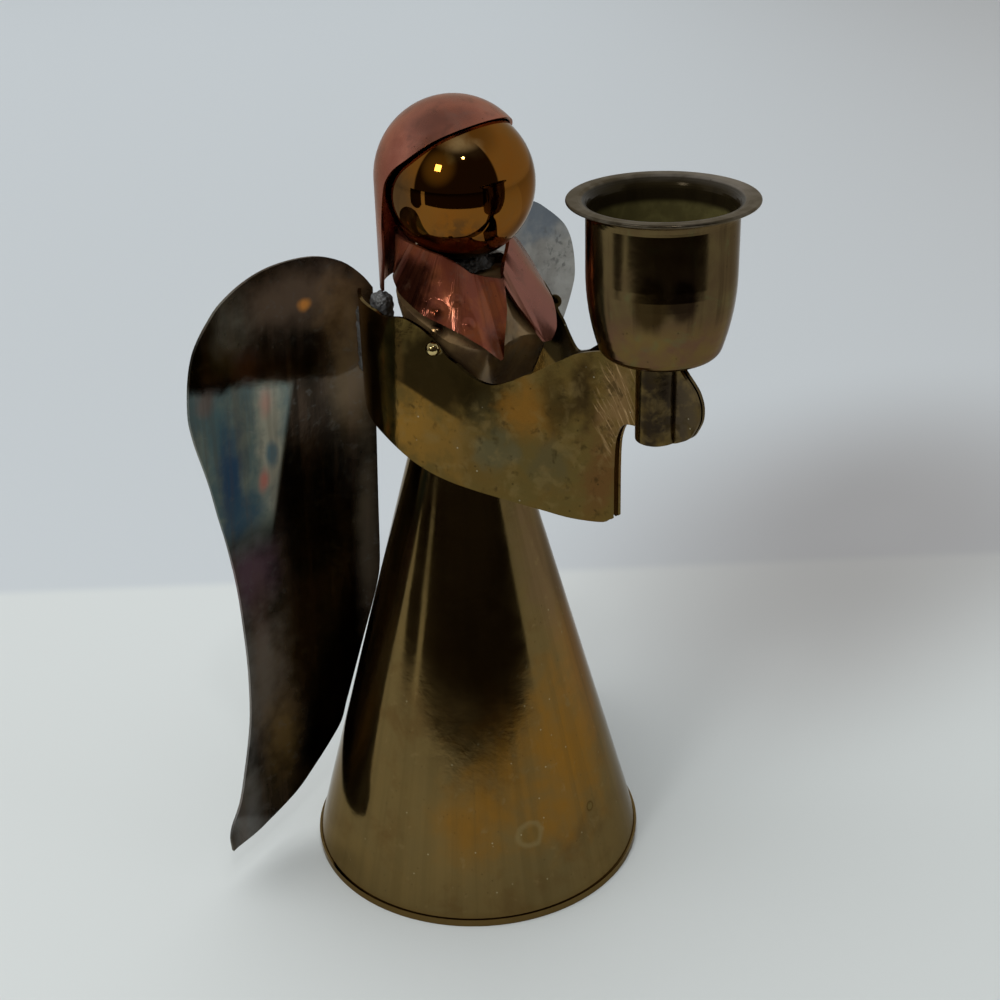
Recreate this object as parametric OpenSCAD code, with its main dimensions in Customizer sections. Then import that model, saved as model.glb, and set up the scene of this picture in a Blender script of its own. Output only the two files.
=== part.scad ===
// Angel candle holder made of bent and soldered brass and copper sheet.
// The angel faces -Y, +Z is up, and the origin is the middle of the skirt's foot.
// Right and left are the angel's own: its right side is -X.

/* [Sheet] */
// Thickness of the brass and copper sheet
sheet = 0.6; // [0.5:0.1:0.8]
// Clearance between pieces that lie against each other
clearance = 0.15; // [0.1:0.05:0.25]

/* [Skirt] */
// Outer radius of the skirt's foot
skirt_r = 33.4; // [31:0.2:36]
// Height at which the skirt's cone would end in a point
skirt_apex_z = 125.3; // [120:0.5:130]
// Height of the turned hem round the foot
hem_h = 1.5; // [1:0.25:2.5]
// How far the hem stands out from the cone
hem_step = 0.35; // [0.2:0.05:0.6]
// Width of the lap where the skirt's sheet closes at the back
seam_w = 4; // [3:0.5:6]

/* [Bodice] */
// How much further the chest reaches than the bend of the sleeves
chest_reach = 0.6; // [0.1:0.1:0.9]
// Height of the chest's lowest fold
chest_z = 110; // [109:0.25:111]
// Height of the bodice from its open lower rim to the neck
bodice_h = 20; // [17:0.5:22]

/* [Neck and head] */
// Radius of the head
head_r = 13.2; // [12.8:0.1:13.2]
// Height of the centre of the head
head_z = 137.9; // [137.5:0.1:138.5]
// How far the head is set forward
head_forward = 1.5; // [1.2:0.1:1.6]
// Radius of the neck pin
neck_r = 2.4; // [2:0.1:2.6]

/* [Hood] */
// Outer radius of the hood
hood_r = 13.9; // [13.9:0.05:14.3]
// Height of the centre of the hood
hood_z = 138.9; // [138.7:0.1:139.5]
// Height of the lower end of the hood's back
hood_low_z = 119.5; // [119:0.25:122]

/* [Collar] */
// How much further the points of the collar reach than the chest
collar_reach = 0.9; // [0.6:0.1:1.2]
// Height of the points of the collar above the chest's lowest fold
collar_tip_rise = 0; // [0:0.1:1]
// Height of the collar from its points to its top edge at the back
collar_h = 19.5; // [18.5:0.25:20]

/* [Sleeves] */
// Radius of the sleeve's bend round the shoulder
sleeve_bend_r = 16.9; // [16.7:0.05:17.1]
// Radius of the sleeve's second, wider bend above the elbow
elbow_bend_r = 30; // [20:1:36]
// Height of the top of the sleeves at the shoulder
sleeve_top_z = 118; // [117:0.25:119]
// Height of the lowest point of the cuffs
cuff_low_z = 84.3; // [82:0.25:87]
// Distance from the axis to the front edge of the cuffs
cuff_y = 37.4; // [36.5:0.1:38.5]
// Space between the two cuffs
cuff_gap = 1.2; // [0.8:0.1:1.6]

/* [Hands] */
// Height of the lower edge of the hands
hand_low_z = 102.7; // [101.7:0.2:104.5]
// How far the fingers reach past the stem's centre
finger_reach = 8.8; // [8:0.2:11]
// Space between the two flat hands, which the solder fills at the stem
hand_gap = 0.4; // [0.2:0.1:0.6]

/* [Wings] */
// Distance from the wing's inner corner to its outermost point, across the back
wing_w = 41.5; // [39:0.5:43]
// Height of the wing
wing_h = 118.4; // [112:0.4:121]
// How far the top of the wings stands above the shoulders
wing_rise = 7.8; // [5:0.2:12]
// How far the inner corner of a wing reaches past the end of the sleeve, towards the middle
wing_lap = 3.4; // [3:0.1:3.8]
// Angle at which the wings stand out to the back at their lower end
wing_lean = 3; // [3:0.25:4.5]
// How far the wing's sheet is bowed to the back
wing_bow = 3.2; // [2.6:0.1:4]

/* [Candle cup] */
// Bore radius of the cup, for a candle of 22 mm
cup_bore_r = 11.4; // [11:0.1:12]
// Distance from the angel's axis to the cup's axis
cup_y = 46.3; // [46:0.1:47.2]
// Height of the cup's rim
cup_rim_z = 143.4; // [141:0.2:146]
// Outer height of the cup
cup_h = 25.8; // [24:0.2:28]
// Height of the lower part of the cup, where its wall curves in
belly_h = 14.1; // [12:0.25:16]
// Radius of that curve
belly_r = 40; // [34:1:60]
// Radius of the cup's bottom corner
cup_corner_r = 2.5; // [1.5:0.25:4]
// Radius of the flare under the rim
flare_r = 2.2; // [1.5:0.1:2.6]
// Radius of the cup's rim
rim_r = 15.1; // [14.6:0.1:16.5]
// Radius of the stem under the cup
stem_r = 3.2; // [2.8:0.1:4]

/* [Solder] */
// Radius of the drop of solder at a shoulder
shoulder_drop_r = 2.1; // [1.9:0.1:2.3]
// Radius of the small bead on a sleeve's edge
bead_r = 1.3; // [1:0.1:1.5]
// Radius of the seam of solder behind a sleeve
wing_solder_r = 1.2; // [1.1:0.1:1.4]

/* [Hidden] */
$fn = 96;
brass = "#9a7b35";
dark_brass = "#6f5f2c";
copper = "#b06a4c";
patina = "#4a4540";
tin = "#8d8a82";
// Overrun that lets a cut pass through a face
cut = 0.2;

// Skirt, from its foot and its apex
skirt_slope = skirt_r / skirt_apex_z;
skirt_wall_r = sheet * sqrt(1 + skirt_slope * skirt_slope);
skirt_top_r = neck_r + clearance + skirt_wall_r;
skirt_top_z = skirt_apex_z - skirt_top_r / skirt_slope;
function skirt_r_at(z) = (skirt_apex_z - z) * skirt_slope;

// Bodice and collar fill the bend of the sleeves
chest_r = sleeve_bend_r + chest_reach;
collar_r = chest_r + collar_reach;
// Both are sheets drawn round the neck. Each row is an angle from the front, then a
// distance from the axis as a share of the chest's or the collar's, then a height as a share of the
// bodice's or the collar's height. Their top edges go round the head, so those distances are shares
// of the head's radius.
neck_open_r = neck_r + clearance + sheet;
bodice_fold_shares = [[0, 0.85, 0.14], [10, 0.86, 0.12], [18.7, 0.9, 0.08], [26, 0.965, 0.13],
    [31, 0.975, 0.13], [42, 0.966, 0.19], [50, 0.949, 0.215], [60, 0.914, 0.3], [67, 0.891, 0.36],
    [76, 0.874, 0.425], [84, 0.863, 0.5], [90, 0.84, 0.55], [105, 0.686, 0.6], [120, 0.606, 0.575],
    [180, 0.583, 0.55]];
bodice_top_shares = [[0, 0.809, 0.575], [19, 0.636, 0.62], [28, 0.61, 0.65], [40, 0.63, 0.66],
    [60, 0.689, 0.66], [90, 0.716, 0.66], [180, 0.716, 0.66]];
collar_low_shares = [[0, 0.636, 0.6], [5.9, 0.745, 0.395], [9.5, 0.788, 0.308], [12.9, 0.832, 0.21],
    [16.3, 0.891, 0.097], [18.7, 0.946, 0], [22, 0.984, 0.045], [26.1, 1.0, 0.108], [31.4, 0.978, 0.19],
    [42.4, 0.927, 0.303], [54.3, 0.875, 0.379], [67.5, 0.864, 0.456], [75.8, 0.864, 0.538],
    [83.5, 0.864, 0.615], [87.4, 0.848, 0.687], [96, 0.77, 0.715], [105, 0.69, 0.7], [120, 0.62, 0.65],
    [180, 0.595, 0.6]];
collar_top_shares = [[0, 0.893, 0.645], [8.5, 0.768, 0.66], [19, 0.704, 0.685], [28, 0.677, 0.708],
    [40, 0.697, 0.795], [60, 0.746, 0.9], [90, 0.796, 0.98], [120, 0.818, 1.0], [180, 0.818, 1.0]];
function column(rows, k) = [for (row = rows) [row[0], row[k]]];
function round_axis(a, r, z) = [r * sin(a), -r * cos(a), z];

// Hood edge seen from the side: forward of the centre and above it, as shares of the radius
hood_edge_shares = [[0.633, 0.777], [0.388, 0.626], [0.129, 0.41], [-0.065, 0.259], [-0.187, 0.108],
    [-0.245, -0.014], [-0.32, -0.288], [-0.37, -0.597], [-0.378, -0.885], [-0.46, -1.3]];

// Middle of the bend round the shoulder, and where it ends at the back, as an angle from +Y
sleeve_mid_y = 1.2;
sleeve_end_angle = 42;

// Sleeve outline seen from the side: share of the way from the back end to the cuff, and height as a
// share between the lowest point of the cuff and the top of the shoulder
sleeve_back_y = sleeve_mid_y + sleeve_bend_r * cos(sleeve_end_angle) + 2 * sheet;
sleeve_top_shares = [[0, 1.01], [0.1, 1.01], [0.2, 1.005], [0.26, 0.99], [0.297, 0.995],
    [0.328, 1.003], [0.358, 1], [0.39, 0.982], [0.419, 0.96], [0.45, 0.925], [0.482, 0.875],
    [0.509, 0.834], [0.537, 0.806], [0.564, 0.768], [0.59, 0.739], [0.616, 0.719], [0.639, 0.71],
    [0.661, 0.711], [0.694, 0.731], [0.757, 0.779], [0.815, 0.838], [0.856, 0.876], [0.894, 0.912],
    [0.939, 0.93], [0.97, 0.936]];
sleeve_low_shares = [[0.995, 0.016], [0.976, -0.004], [0.923, -0.006], [0.863, 0.003], [0.804, 0.024],
    [0.744, 0.045], [0.684, 0.066], [0.624, 0.088], [0.563, 0.11], [0.491, 0.132], [0.431, 0.155],
    [0.378, 0.187], [0.34, 0.217], [0.291, 0.26], [0.234, 0.303], [0.172, 0.338], [0.111, 0.379],
    [0.06, 0.44], [0, 0.55]];
// Notch between cuff and hand, then the fingers: forward of the cuff as a share of the fingers' reach
// past it, and height as a share of the hand's height
hand_low_shares = [[0, -0.6], [0.015, -0.25], [0.06, -0.06], [0.118, 0.03], [0.179, 0.06], [0.289, 0.07],
    [0.34, 0.03], [0.386, 0], [0.6, 0], [0.72, 0.02], [0.788, 0.054], [0.89, 0.129], [0.944, 0.224], [0.99, 0.346],
    [1, 0.454], [0.99, 0.556], [0.953, 0.664], [0.906, 0.739], [0.83, 0.83], [0.75, 0.93], [0.68, 1]];

// Wing outline from the back: across from the inner corner as a share of the width, and height as a
// share of the wing's height
wing_outer_shares = [[0, 0.93], [0.04, 0.951], [0.109, 0.975], [0.18, 0.989], [0.255, 0.997], [0.349, 1],
    [0.453, 0.999], [0.537, 0.995], [0.626, 0.987], [0.696, 0.978], [0.775, 0.965], [0.833, 0.95],
    [0.887, 0.934], [0.93, 0.918], [0.958, 0.901], [0.978, 0.881], [0.994, 0.852], [1, 0.819],
    [0.988, 0.793], [0.967, 0.765], [0.932, 0.728], [0.898, 0.688], [0.862, 0.633], [0.822, 0.577],
    [0.779, 0.493], [0.758, 0.411], [0.747, 0.327], [0.756, 0.244], [0.781, 0.192], [0.818, 0.142],
    [0.861, 0.093], [0.897, 0.071], [0.941, 0.052], [0.96, 0.031], [0.953, 0.003]];
wing_inner_shares = [[0.924, 0.003], [0.827, 0], [0.753, 0.001], [0.689, 0.006], [0.626, 0.012],
    [0.565, 0.02], [0.511, 0.029], [0.465, 0.04], [0.426, 0.052], [0.35, 0.079], [0.282, 0.107],
    [0.222, 0.138], [0.192, 0.174], [0.163, 0.208], [0.109, 0.275], [0.076, 0.317], [0.043, 0.359],
    [0.014, 0.402], [0, 0.445], [0, 0.55], [0, 0.7], [0, 0.86]];
wing_in_x = sleeve_bend_r * sin(sleeve_end_angle) - wing_lap;
wing_low_z = sleeve_top_z + wing_rise - wing_h;
wing_pivot_z = wing_low_z + 0.88 * wing_h;
wing_sweep = 3.3;
wing_chord = 0.92 * wing_w;
// The wing lies behind the end of the sleeve
wing_back_y = sleeve_mid_y + sleeve_bend_r * cos(sleeve_end_angle) + 1.4 * sheet;
wing_bend_r = (wing_chord * wing_chord / 4 + wing_bow * wing_bow) / (2 * wing_bow);
wing_mid = [-wing_in_x - wing_chord / 2 * cos(wing_sweep), wing_back_y + wing_chord / 2 * sin(wing_sweep)];
wing_centre = wing_mid + (wing_bow - wing_bend_r) * [sin(wing_sweep), cos(wing_sweep)];
function wing_y(x) = wing_centre[1] + sqrt(pow(wing_bend_r, 2) - pow(x - wing_centre[0], 2));

// Sleeve plan: a bend round the shoulder, a straight upper arm, a wide bend at the elbow and a straight
// run to the cuff, where it meets the other sleeve
cuff_point = [-(cuff_gap + sheet) / 2, -cuff_y];
elbow = [-0.805 * sleeve_bend_r, -0.37 * cuff_y];
elbow_d = norm(elbow - [0, sleeve_mid_y]);
// Where the bend passes into the upper arm, as an angle from -Y towards -X
join_angle = atan2(-elbow[0], sleeve_mid_y - elbow[1]) + acos(sleeve_bend_r / elbow_d);
upper_start = [-sleeve_bend_r * sin(join_angle), sleeve_mid_y - sleeve_bend_r * cos(join_angle)];
// Directions of the two straight runs, as angles from -Y towards +X
upper_turn = 90 - join_angle;
run_turn = atan2(cuff_point[0] - elbow[0], elbow[1] - cuff_point[1]);
elbow_tangent = elbow_bend_r * tan((run_turn - upper_turn) / 2);
function heading(a) = [sin(a), -cos(a)];
upper_end = elbow - elbow_tangent * heading(upper_turn);
run_start = elbow + elbow_tangent * heading(run_turn);
elbow_centre = upper_end + elbow_bend_r * [cos(upper_turn), sin(upper_turn)];
bulge_r = stem_r + sheet + clearance / 3;
hand_top_z = cup_rim_z - cup_h - clearance;
finger_y = cup_y + finger_reach;
hand_span = finger_y - cuff_y;

// Cup
cup_r = cup_bore_r + sheet;
cup_low_z = cup_rim_z - cup_h;
belly_centre = [cup_r - belly_r, cup_low_z + belly_h];
belly_angle = asin((belly_h - cup_corner_r) / (belly_r - cup_corner_r));
corner_centre = belly_centre + (belly_r - cup_corner_r) * [cos(belly_angle), -sin(belly_angle)];

// Smooth curve through a list of points
function spline_point(p0, p1, p2, p3, t) = 0.5 * ((2 * p1) + (p2 - p0) * t + (2 * p0 - 5 * p1 + 4 * p2 - p3) * t * t
    + (3 * p1 - p0 - 3 * p2 + p3) * t * t * t);
function curve(p, steps) = let (n = len(p)) concat([for (i = [0 : n - 2], j = [0 : steps - 1])
    spline_point(p[max(i - 1, 0)], p[i], p[i + 1], p[min(i + 2, n - 1)], j / steps)], [p[n - 1]]);

// Closed skin over rings of points that all have the same count, each ring closed
module ring_skin(rings) {
    n = len(rings[0]);
    m = len(rings);
    points = [for (ring = rings, q = ring) q];
    sides = [for (i = [0 : m - 1], j = [0 : n - 1], k = [0, 1]) let (a = i * n + j, b = i * n + (j + 1) % n,
        c = ((i + 1) % m) * n + (j + 1) % n, d = ((i + 1) % m) * n + j) k == 0 ? [a, b, c] : [a, c, d]];
    polyhedron(points = points, faces = sides, convexity = 6);
}

module skirt_cone(inset, top_z) {
    cylinder(r1 = skirt_r - inset, r2 = skirt_r_at(top_z) - inset, h = top_z);
}

module skirt() color(brass) {
    difference() {
        union() {
            skirt_cone(0, skirt_top_z);
            cylinder(r = skirt_r, h = hem_h);
            // Lap of the seam at the back
            intersection() {
                skirt_cone(-hem_step, skirt_top_z);
                translate([-seam_w / 2, 0, 0]) cube([seam_w, skirt_r, skirt_top_z]);
            }
        }
        translate([0, 0, -cut]) cylinder(r1 = skirt_r - skirt_wall_r + cut * skirt_slope,
            r2 = skirt_r_at(skirt_top_z + cut) - skirt_wall_r, h = skirt_top_z + 2 * cut);
    }
}

ring_steps = 72;
function turn(i, n) = let (a = 360 * i / n) a > 180 ? a - 360 : a;
// Ring round the neck: r and z from rows of shares, r drawn in by inset and scaled, z lowered
function sheet_ring(rows, n, r, low_z, h, inset, pull, drop) = [for (i = [0 : n - 1]) let (a = turn(i, n))
    round_axis(a, (r * lookup(abs(a), column(rows, 1)) - inset) * pull,
        low_z + h * lookup(abs(a), column(rows, 2)) - drop)];
function level_ring(rows, n, r, z, inset, pull) = [for (i = [0 : n - 1]) let (a = turn(i, n))
    round_axis(a, (r * lookup(abs(a), column(rows, 1)) - inset) * pull, z)];

fold_drop = bodice_h / 5;
bodice_neck_z = chest_z + bodice_h * 0.66;
bodice_rim_z = bodice_neck_z - bodice_h;
function bodice_skin(inset) = [
    level_ring(bodice_fold_shares, ring_steps, chest_r, bodice_rim_z, inset, 0.8),
    sheet_ring(bodice_fold_shares, ring_steps, chest_r, chest_z, bodice_h, inset, 0.93, fold_drop),
    sheet_ring(bodice_fold_shares, ring_steps, chest_r, chest_z, bodice_h, inset, 0.985, fold_drop / 3),
    sheet_ring(bodice_fold_shares, ring_steps, chest_r, chest_z, bodice_h, inset, 1, 0)];

module bodice() color(brass) {
    top_out = sheet_ring(bodice_top_shares, ring_steps, head_r, chest_z, bodice_h, 0, 1, 0);
    top_in = sheet_ring(bodice_top_shares, ring_steps, head_r, chest_z, bodice_h, sheet / 2, 1, sheet);
    neck_out = [for (i = [0 : ring_steps - 1]) round_axis(turn(i, ring_steps), neck_open_r, bodice_neck_z)];
    neck_in = [for (q = neck_out) q - [0, 0, sheet]];
    outside = bodice_skin(0);
    inside = bodice_skin(sheet);
    ring_skin(concat(outside, [top_out, neck_out, neck_in, top_in],
        [for (i = [len(inside) - 1 : -1 : 0]) inside[i]]));
}

collar_steps = 120;
collar_rows = 3;
module collar() color(copper) {
    low_z = chest_z + collar_tip_rise;
    low_out = sheet_ring(collar_low_shares, collar_steps, collar_r, low_z, collar_h, 0, 1, 0);
    top_out = sheet_ring(collar_top_shares, collar_steps, head_r, low_z, collar_h, 0, 1, 0);
    low_in = sheet_ring(collar_low_shares, collar_steps, collar_r, low_z, collar_h, sheet, 1, 0);
    top_in = sheet_ring(collar_top_shares, collar_steps, head_r, low_z, collar_h, sheet, 1, 0);
    ring_skin(concat([for (row = [0 : collar_rows]) low_out * (1 - row / collar_rows) + top_out * row / collar_rows],
        [for (row = [collar_rows : -1 : 0]) low_in * (1 - row / collar_rows) + top_in * row / collar_rows]));
}

module neck_pin() color(tin) {
    pin_low_z = skirt_top_z - 2 * neck_r;
    pin_top_z = head_z - head_r + 2 * sheet;
    translate([0, 0, pin_low_z]) cylinder(r = neck_r, h = pin_top_z - pin_low_z);
}

module head_ball(r) {
    translate([0, -head_forward, head_z]) sphere(r = r);
}

module head() color(brass) {
    difference() {
        head_ball(head_r);
        head_ball(head_r - sheet);
        cylinder(r = neck_r + clearance, h = head_z);
    }
}

module neck_solder() color(tin) {
    low_z = bodice_neck_z;
    high_z = head_z - sqrt(pow(head_r, 2) - pow(2 * neck_r, 2)) + sheet;
    difference() {
        translate([0, 0, low_z]) cylinder(r1 = 2.9 * neck_r, r2 = 1.8 * neck_r, h = high_z - low_z);
        head_ball(head_r);
        cylinder(r = neck_r, h = head_z);
    }
}

module hood_shell(r) {
    translate([0, 0, hood_z]) sphere(r = r);
    translate([0, 0, hood_low_z]) cylinder(r = r, h = hood_z - hood_low_z);
}

module hood() color(copper) {
    edge = curve([for (s = hood_edge_shares) [-s[0] * hood_r, s[1] * hood_r]], 4);
    difference() {
        hood_shell(hood_r);
        hood_shell(hood_r - sheet + sheet / 6);
        translate([0, 0, hood_low_z - cut]) cylinder(r = hood_r - sheet + sheet / 6, h = 2 * cut);
        // All that lies in front of the edge
        translate([-2 * hood_r, 0, hood_z]) rotate([90, 0, 90]) linear_extrude(height = 4 * hood_r)
            polygon(concat([[-2 * hood_r, 1.4 * hood_r], [-0.9 * hood_r, 1.1 * hood_r]], edge,
            [[-0.52 * -hood_r, -1.6 * hood_r], [-2 * hood_r, -1.6 * hood_r]]));
    }
}

module hood_solder() color(tin) {
    // A drop that fills the space between the back of the head and the hood
    difference() {
        intersection() {
            translate([0, 0, hood_z]) sphere(r = hood_r - sheet + sheet / 6);
            translate([0, 0, hood_z]) rotate([-60, 0, 0]) cylinder(r = 1.6 * neck_r, h = 2 * hood_r);
        }
        head_ball(head_r);
    }
}

function sleeve_pt(s) = [sleeve_back_y - s[0] * (sleeve_back_y + cuff_y),
    cuff_low_z + s[1] * (sleeve_top_z - cuff_low_z)];
function hand_pt(s) = [-cuff_y - s[0] * hand_span, hand_low_z + s[1] * (hand_top_z - hand_low_z)];

module sleeve_outline() {
    top = curve([for (s = sleeve_top_shares) sleeve_pt(s)], 3);
    low = curve([for (s = sleeve_low_shares) sleeve_pt(s)], 3);
    hand = curve([for (s = hand_low_shares) hand_pt(s)], 4);
    rotate([90, 0, 90]) linear_extrude(height = 2 * sleeve_bend_r)
        polygon(concat(top, [[-cuff_y - (cup_y - cuff_y) / 3, hand_top_z]], [for (i = [len(hand) - 1 : -1 : 0]) hand[i]],
            [[-cuff_y, cuff_low_z + sheet]], low));
}

module right_sleeve_shape() {
    z0 = cuff_low_z - sheet;
    h = sleeve_top_z - z0 + 2 * sheet;
    inner = sleeve_bend_r - sheet / 2;
    intersection() {
        union() {
            // Bend round the shoulder
            translate([0, sleeve_mid_y, z0]) rotate([0, 0, 90 + sleeve_end_angle])
                rotate_extrude(angle = 180 - sleeve_end_angle - join_angle)
                translate([inner, 0]) square([sheet, h]);
            // Upper arm, elbow and run to the cuff, each with a short overlap into the next
            upright_sheet(upper_start - cut * heading(upper_turn), upper_end + cut * heading(upper_turn), z0, h);
            translate([elbow_centre[0], elbow_centre[1], z0]) rotate([0, 0, 180 + upper_turn])
                rotate_extrude(angle = run_turn - upper_turn) translate([elbow_bend_r - sheet / 2, 0])
                square([sheet, h]);
            upright_sheet(run_start - cut * heading(run_turn), cuff_point, z0, h);
            // Rounded fold between the run and the flat hand
            translate([cuff_point[0], cuff_point[1], z0]) cylinder(r = sheet / 2, h = h);
            hand_sheet(z0, h);
        }
        translate([-2 * sleeve_bend_r, 0, 0]) sleeve_outline();
    }
}

// Upright flat sheet between two points of the plan
module upright_sheet(from, to, z0, h) {
    d = to - from;
    translate([from[0], from[1], z0]) rotate([0, 0, atan2(d[0], -d[1])]) translate([-sheet / 2, -norm(d), 0])
        cube([sheet, norm(d), h]);
}

module hand_sheet(z0, h) {
    // From the cuff's fold to the flat sheet that meets the other hand
    flat_x = -(hand_gap + sheet) / 2;
    fold = [flat_x, -cuff_y - (cup_y - bulge_r - cuff_y) * 0.5];
    upright_sheet(cuff_point, fold, z0, h);
    translate([flat_x - sheet / 2, -(cup_y - bulge_r + sheet / 2), z0])
        cube([sheet, cup_y - bulge_r + sheet / 2 + fold[1], h]);
    // Half round that holds the stem
    translate([0, -cup_y, z0]) rotate([0, 0, 90]) rotate_extrude(angle = 180) translate([bulge_r - sheet, 0])
        square([sheet, h]);
    // Flat fingers
    translate([flat_x - sheet / 2, -finger_y - cut, z0])
        cube([sheet, finger_y + cut - cup_y - bulge_r + sheet / 2, h]);
}

module right_sleeve() color(dark_brass) right_sleeve_shape();

module left_sleeve() color(dark_brass) mirror([1, 0, 0]) right_sleeve_shape();

function wing_pt(s) = [-wing_in_x - s[0] * wing_w, wing_low_z + s[1] * wing_h];

module right_wing_shape() {
    outer = curve([for (s = wing_outer_shares) wing_pt(s)], 3);
    inner = curve([for (s = wing_inner_shares) wing_pt(s)], 3);
    intersection() {
        difference() {
            wing_bend(wing_bend_r + sheet / 2);
            wing_bend(wing_bend_r - sheet / 2);
        }
        translate([0, 3 * wing_back_y, 0]) rotate([90, 0, 0]) linear_extrude(height = 3 * wing_back_y)
            polygon(concat(outer, inner));
    }
}

// Cylinder whose wall the wing follows, leaning to the back at its lower end
module wing_bend(r) {
    translate([wing_centre[0], wing_centre[1], wing_pivot_z]) rotate([wing_lean, 0, 0])
        translate([0, 0, -2 * wing_h]) cylinder(r = r, h = 3 * wing_h, $fn = 180);
}

module right_wing() color(patina) right_wing_shape();

module left_wing() color(patina) mirror([1, 0, 0]) right_wing_shape();

function arc(centre, r, from, to, steps) = [for (i = [0 : steps]) let (a = from + (to - from) * i / steps)
    centre + r * [cos(a), sin(a)]];
// Wall of the cup from its foot up to the straight part, drawn in by inset
function cup_foot(inset) = concat([[0, cup_low_z + inset]],
    arc(corner_centre, cup_corner_r - inset, -90, -belly_angle, 6), arc(belly_centre, belly_r - inset, -belly_angle, 0, 8));

module candle_cup() color(dark_brass) {
    lip_r = sheet / 2;
    outer = concat(cup_foot(0), arc([cup_r + flare_r, cup_rim_z - sheet - flare_r], flare_r, 180, 90, 8),
        arc([rim_r - lip_r, cup_rim_z - lip_r], lip_r, -90, 90, 8));
    throat = arc([cup_bore_r + flare_r, cup_rim_z - flare_r], flare_r, 90, 180, 8);
    inner = cup_foot(sheet);
    translate([0, -cup_y, 0]) rotate_extrude()
        polygon(concat(outer, throat, [for (i = [len(inner) - 1 : -1 : 0]) inner[i]]));
}

module cup_stem() color(tin) {
    translate([0, -cup_y, hand_low_z]) cylinder(r = stem_r, h = cup_low_z - hand_low_z);
}

module cup_solder() color(tin) {
    // Fillet of solder on each side, between the half round of the hand and the bottom of the cup
    fillet = 2 * sheet;
    difference() {
        translate([0, -cup_y, hand_top_z - fillet]) cylinder(r1 = bulge_r, r2 = bulge_r + fillet, h = fillet + clearance);
        translate([0, -cup_y, 0]) cylinder(r = bulge_r, h = cup_rim_z);
        translate([-hand_gap / 2 - sheet, -cup_y - cup_r, 0]) cube([hand_gap + 2 * sheet, 2 * cup_r, cup_rim_z]);
    }
}

// A drop of solder in the corner between the hood's side and the sleeve
shoulder_drop_d = sleeve_bend_r - 1.43 * shoulder_drop_r;
shoulder_drop = [-0.935 * shoulder_drop_d, sleeve_mid_y + 0.353 * shoulder_drop_d, sleeve_top_z];
module right_shoulder_drop() {
    difference() {
        union() {
            translate(shoulder_drop) sphere(r = shoulder_drop_r);
            translate(shoulder_drop - [0, 0, shoulder_drop_r]) cylinder(r = shoulder_drop_r, h = shoulder_drop_r);
            translate(shoulder_drop - [0, 0, shoulder_drop_r]) sphere(r = shoulder_drop_r);
        }
        sleeve_ring(2 * sleeve_bend_r, sleeve_bend_r - sheet / 2);
        translate([0, 0, hood_low_z]) cylinder(r = hood_r, h = hood_z);
    }
}
// Upright ring on the axis of the bend round the shoulder
module sleeve_ring(r, inner) {
    translate([0, sleeve_mid_y, 0]) difference() {
        cylinder(r = r, h = 2 * sleeve_top_z);
        translate([0, 0, -cut]) cylinder(r = inner, h = 2 * (sleeve_top_z + cut));
    }
}
module right_shoulder_solder() color(tin) right_shoulder_drop();
module left_shoulder_solder() color(tin) mirror([1, 0, 0]) right_shoulder_drop();

// Bead on the outer face of the upper arm, close under the sleeve's top edge
bead_place = upper_start + 0.57 * (elbow - upper_start);
bead_z = cuff_low_z + 0.872 * (sleeve_top_z - cuff_low_z);
module right_bead() {
    translate([bead_place[0], bead_place[1], bead_z]) rotate([0, 0, upper_turn]) difference() {
        translate([-sheet / 2 - bead_r / 3, 0, 0]) rotate([0, 90, 0]) sphere(r = bead_r);
        translate([-sheet / 2, -2 * bead_r, -2 * bead_r]) cube(4 * bead_r);
    }
}
module right_sleeve_bead() color(tin) right_bead();
module left_sleeve_bead() color(tin) mirror([1, 0, 0]) right_bead();

// Seam of solder between the end of the sleeve and the wing
module right_wing_seam() {
    low_z = cuff_low_z + 0.545 * (sleeve_top_z - cuff_low_z);
    high_z = cuff_low_z + 0.865 * (sleeve_top_z - cuff_low_z);
    seam_x = -sleeve_bend_r * sin(sleeve_end_angle) + wing_solder_r;
    seam_y = sleeve_mid_y + sleeve_bend_r * cos(sleeve_end_angle) + wing_solder_r;
    difference() {
        union() {
            translate([seam_x, seam_y, low_z]) cylinder(r = wing_solder_r, h = high_z - low_z);
            translate([seam_x, seam_y, low_z]) sphere(r = wing_solder_r);
            translate([seam_x, seam_y, high_z]) sphere(r = wing_solder_r);
        }
        // The end of the sleeve, and all that lies behind the wing's front face
        intersection() {
            sleeve_ring(sleeve_bend_r + sheet / 2, sleeve_bend_r - sheet / 2);
            translate([0, sleeve_mid_y, 0]) rotate([0, 0, 90 + sleeve_end_angle])
                cube([2 * sleeve_bend_r, 2 * sleeve_bend_r, 2 * sleeve_top_z]);
        }
        difference() {
            wing_bend(2 * wing_bend_r);
            wing_bend(wing_bend_r - sheet / 2);
        }
    }
}
module right_wing_solder() color(tin) right_wing_seam();
module left_wing_solder() color(tin) mirror([1, 0, 0]) right_wing_seam();

skirt();
bodice();
collar();
neck_pin();
neck_solder();
head();
hood();
hood_solder();
right_sleeve();
left_sleeve();
right_wing();
left_wing();
candle_cup();
cup_stem();
cup_solder();
right_shoulder_solder();
left_shoulder_solder();
right_sleeve_bead();
left_sleeve_bead();
right_wing_solder();
left_wing_solder();
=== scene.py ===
# %% [markdown]
# An angel candle holder, cut and bent from thin brass and copper sheet and
# soldered together. All its solids are already in the frame, at their real
# size and place, so this lesson is about light and metal: how a photograph of
# old polished brass gets its dark and pale bands, and how tarnish, heat
# colours and solder are mixed from a few procedural patterns.
# The frame is loaded first. It leaves its pieces selected, so everything is
# deselected before any operator is used.

# %% Load the frame
import math

import bpy
from mathutils import Matrix, Vector


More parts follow.
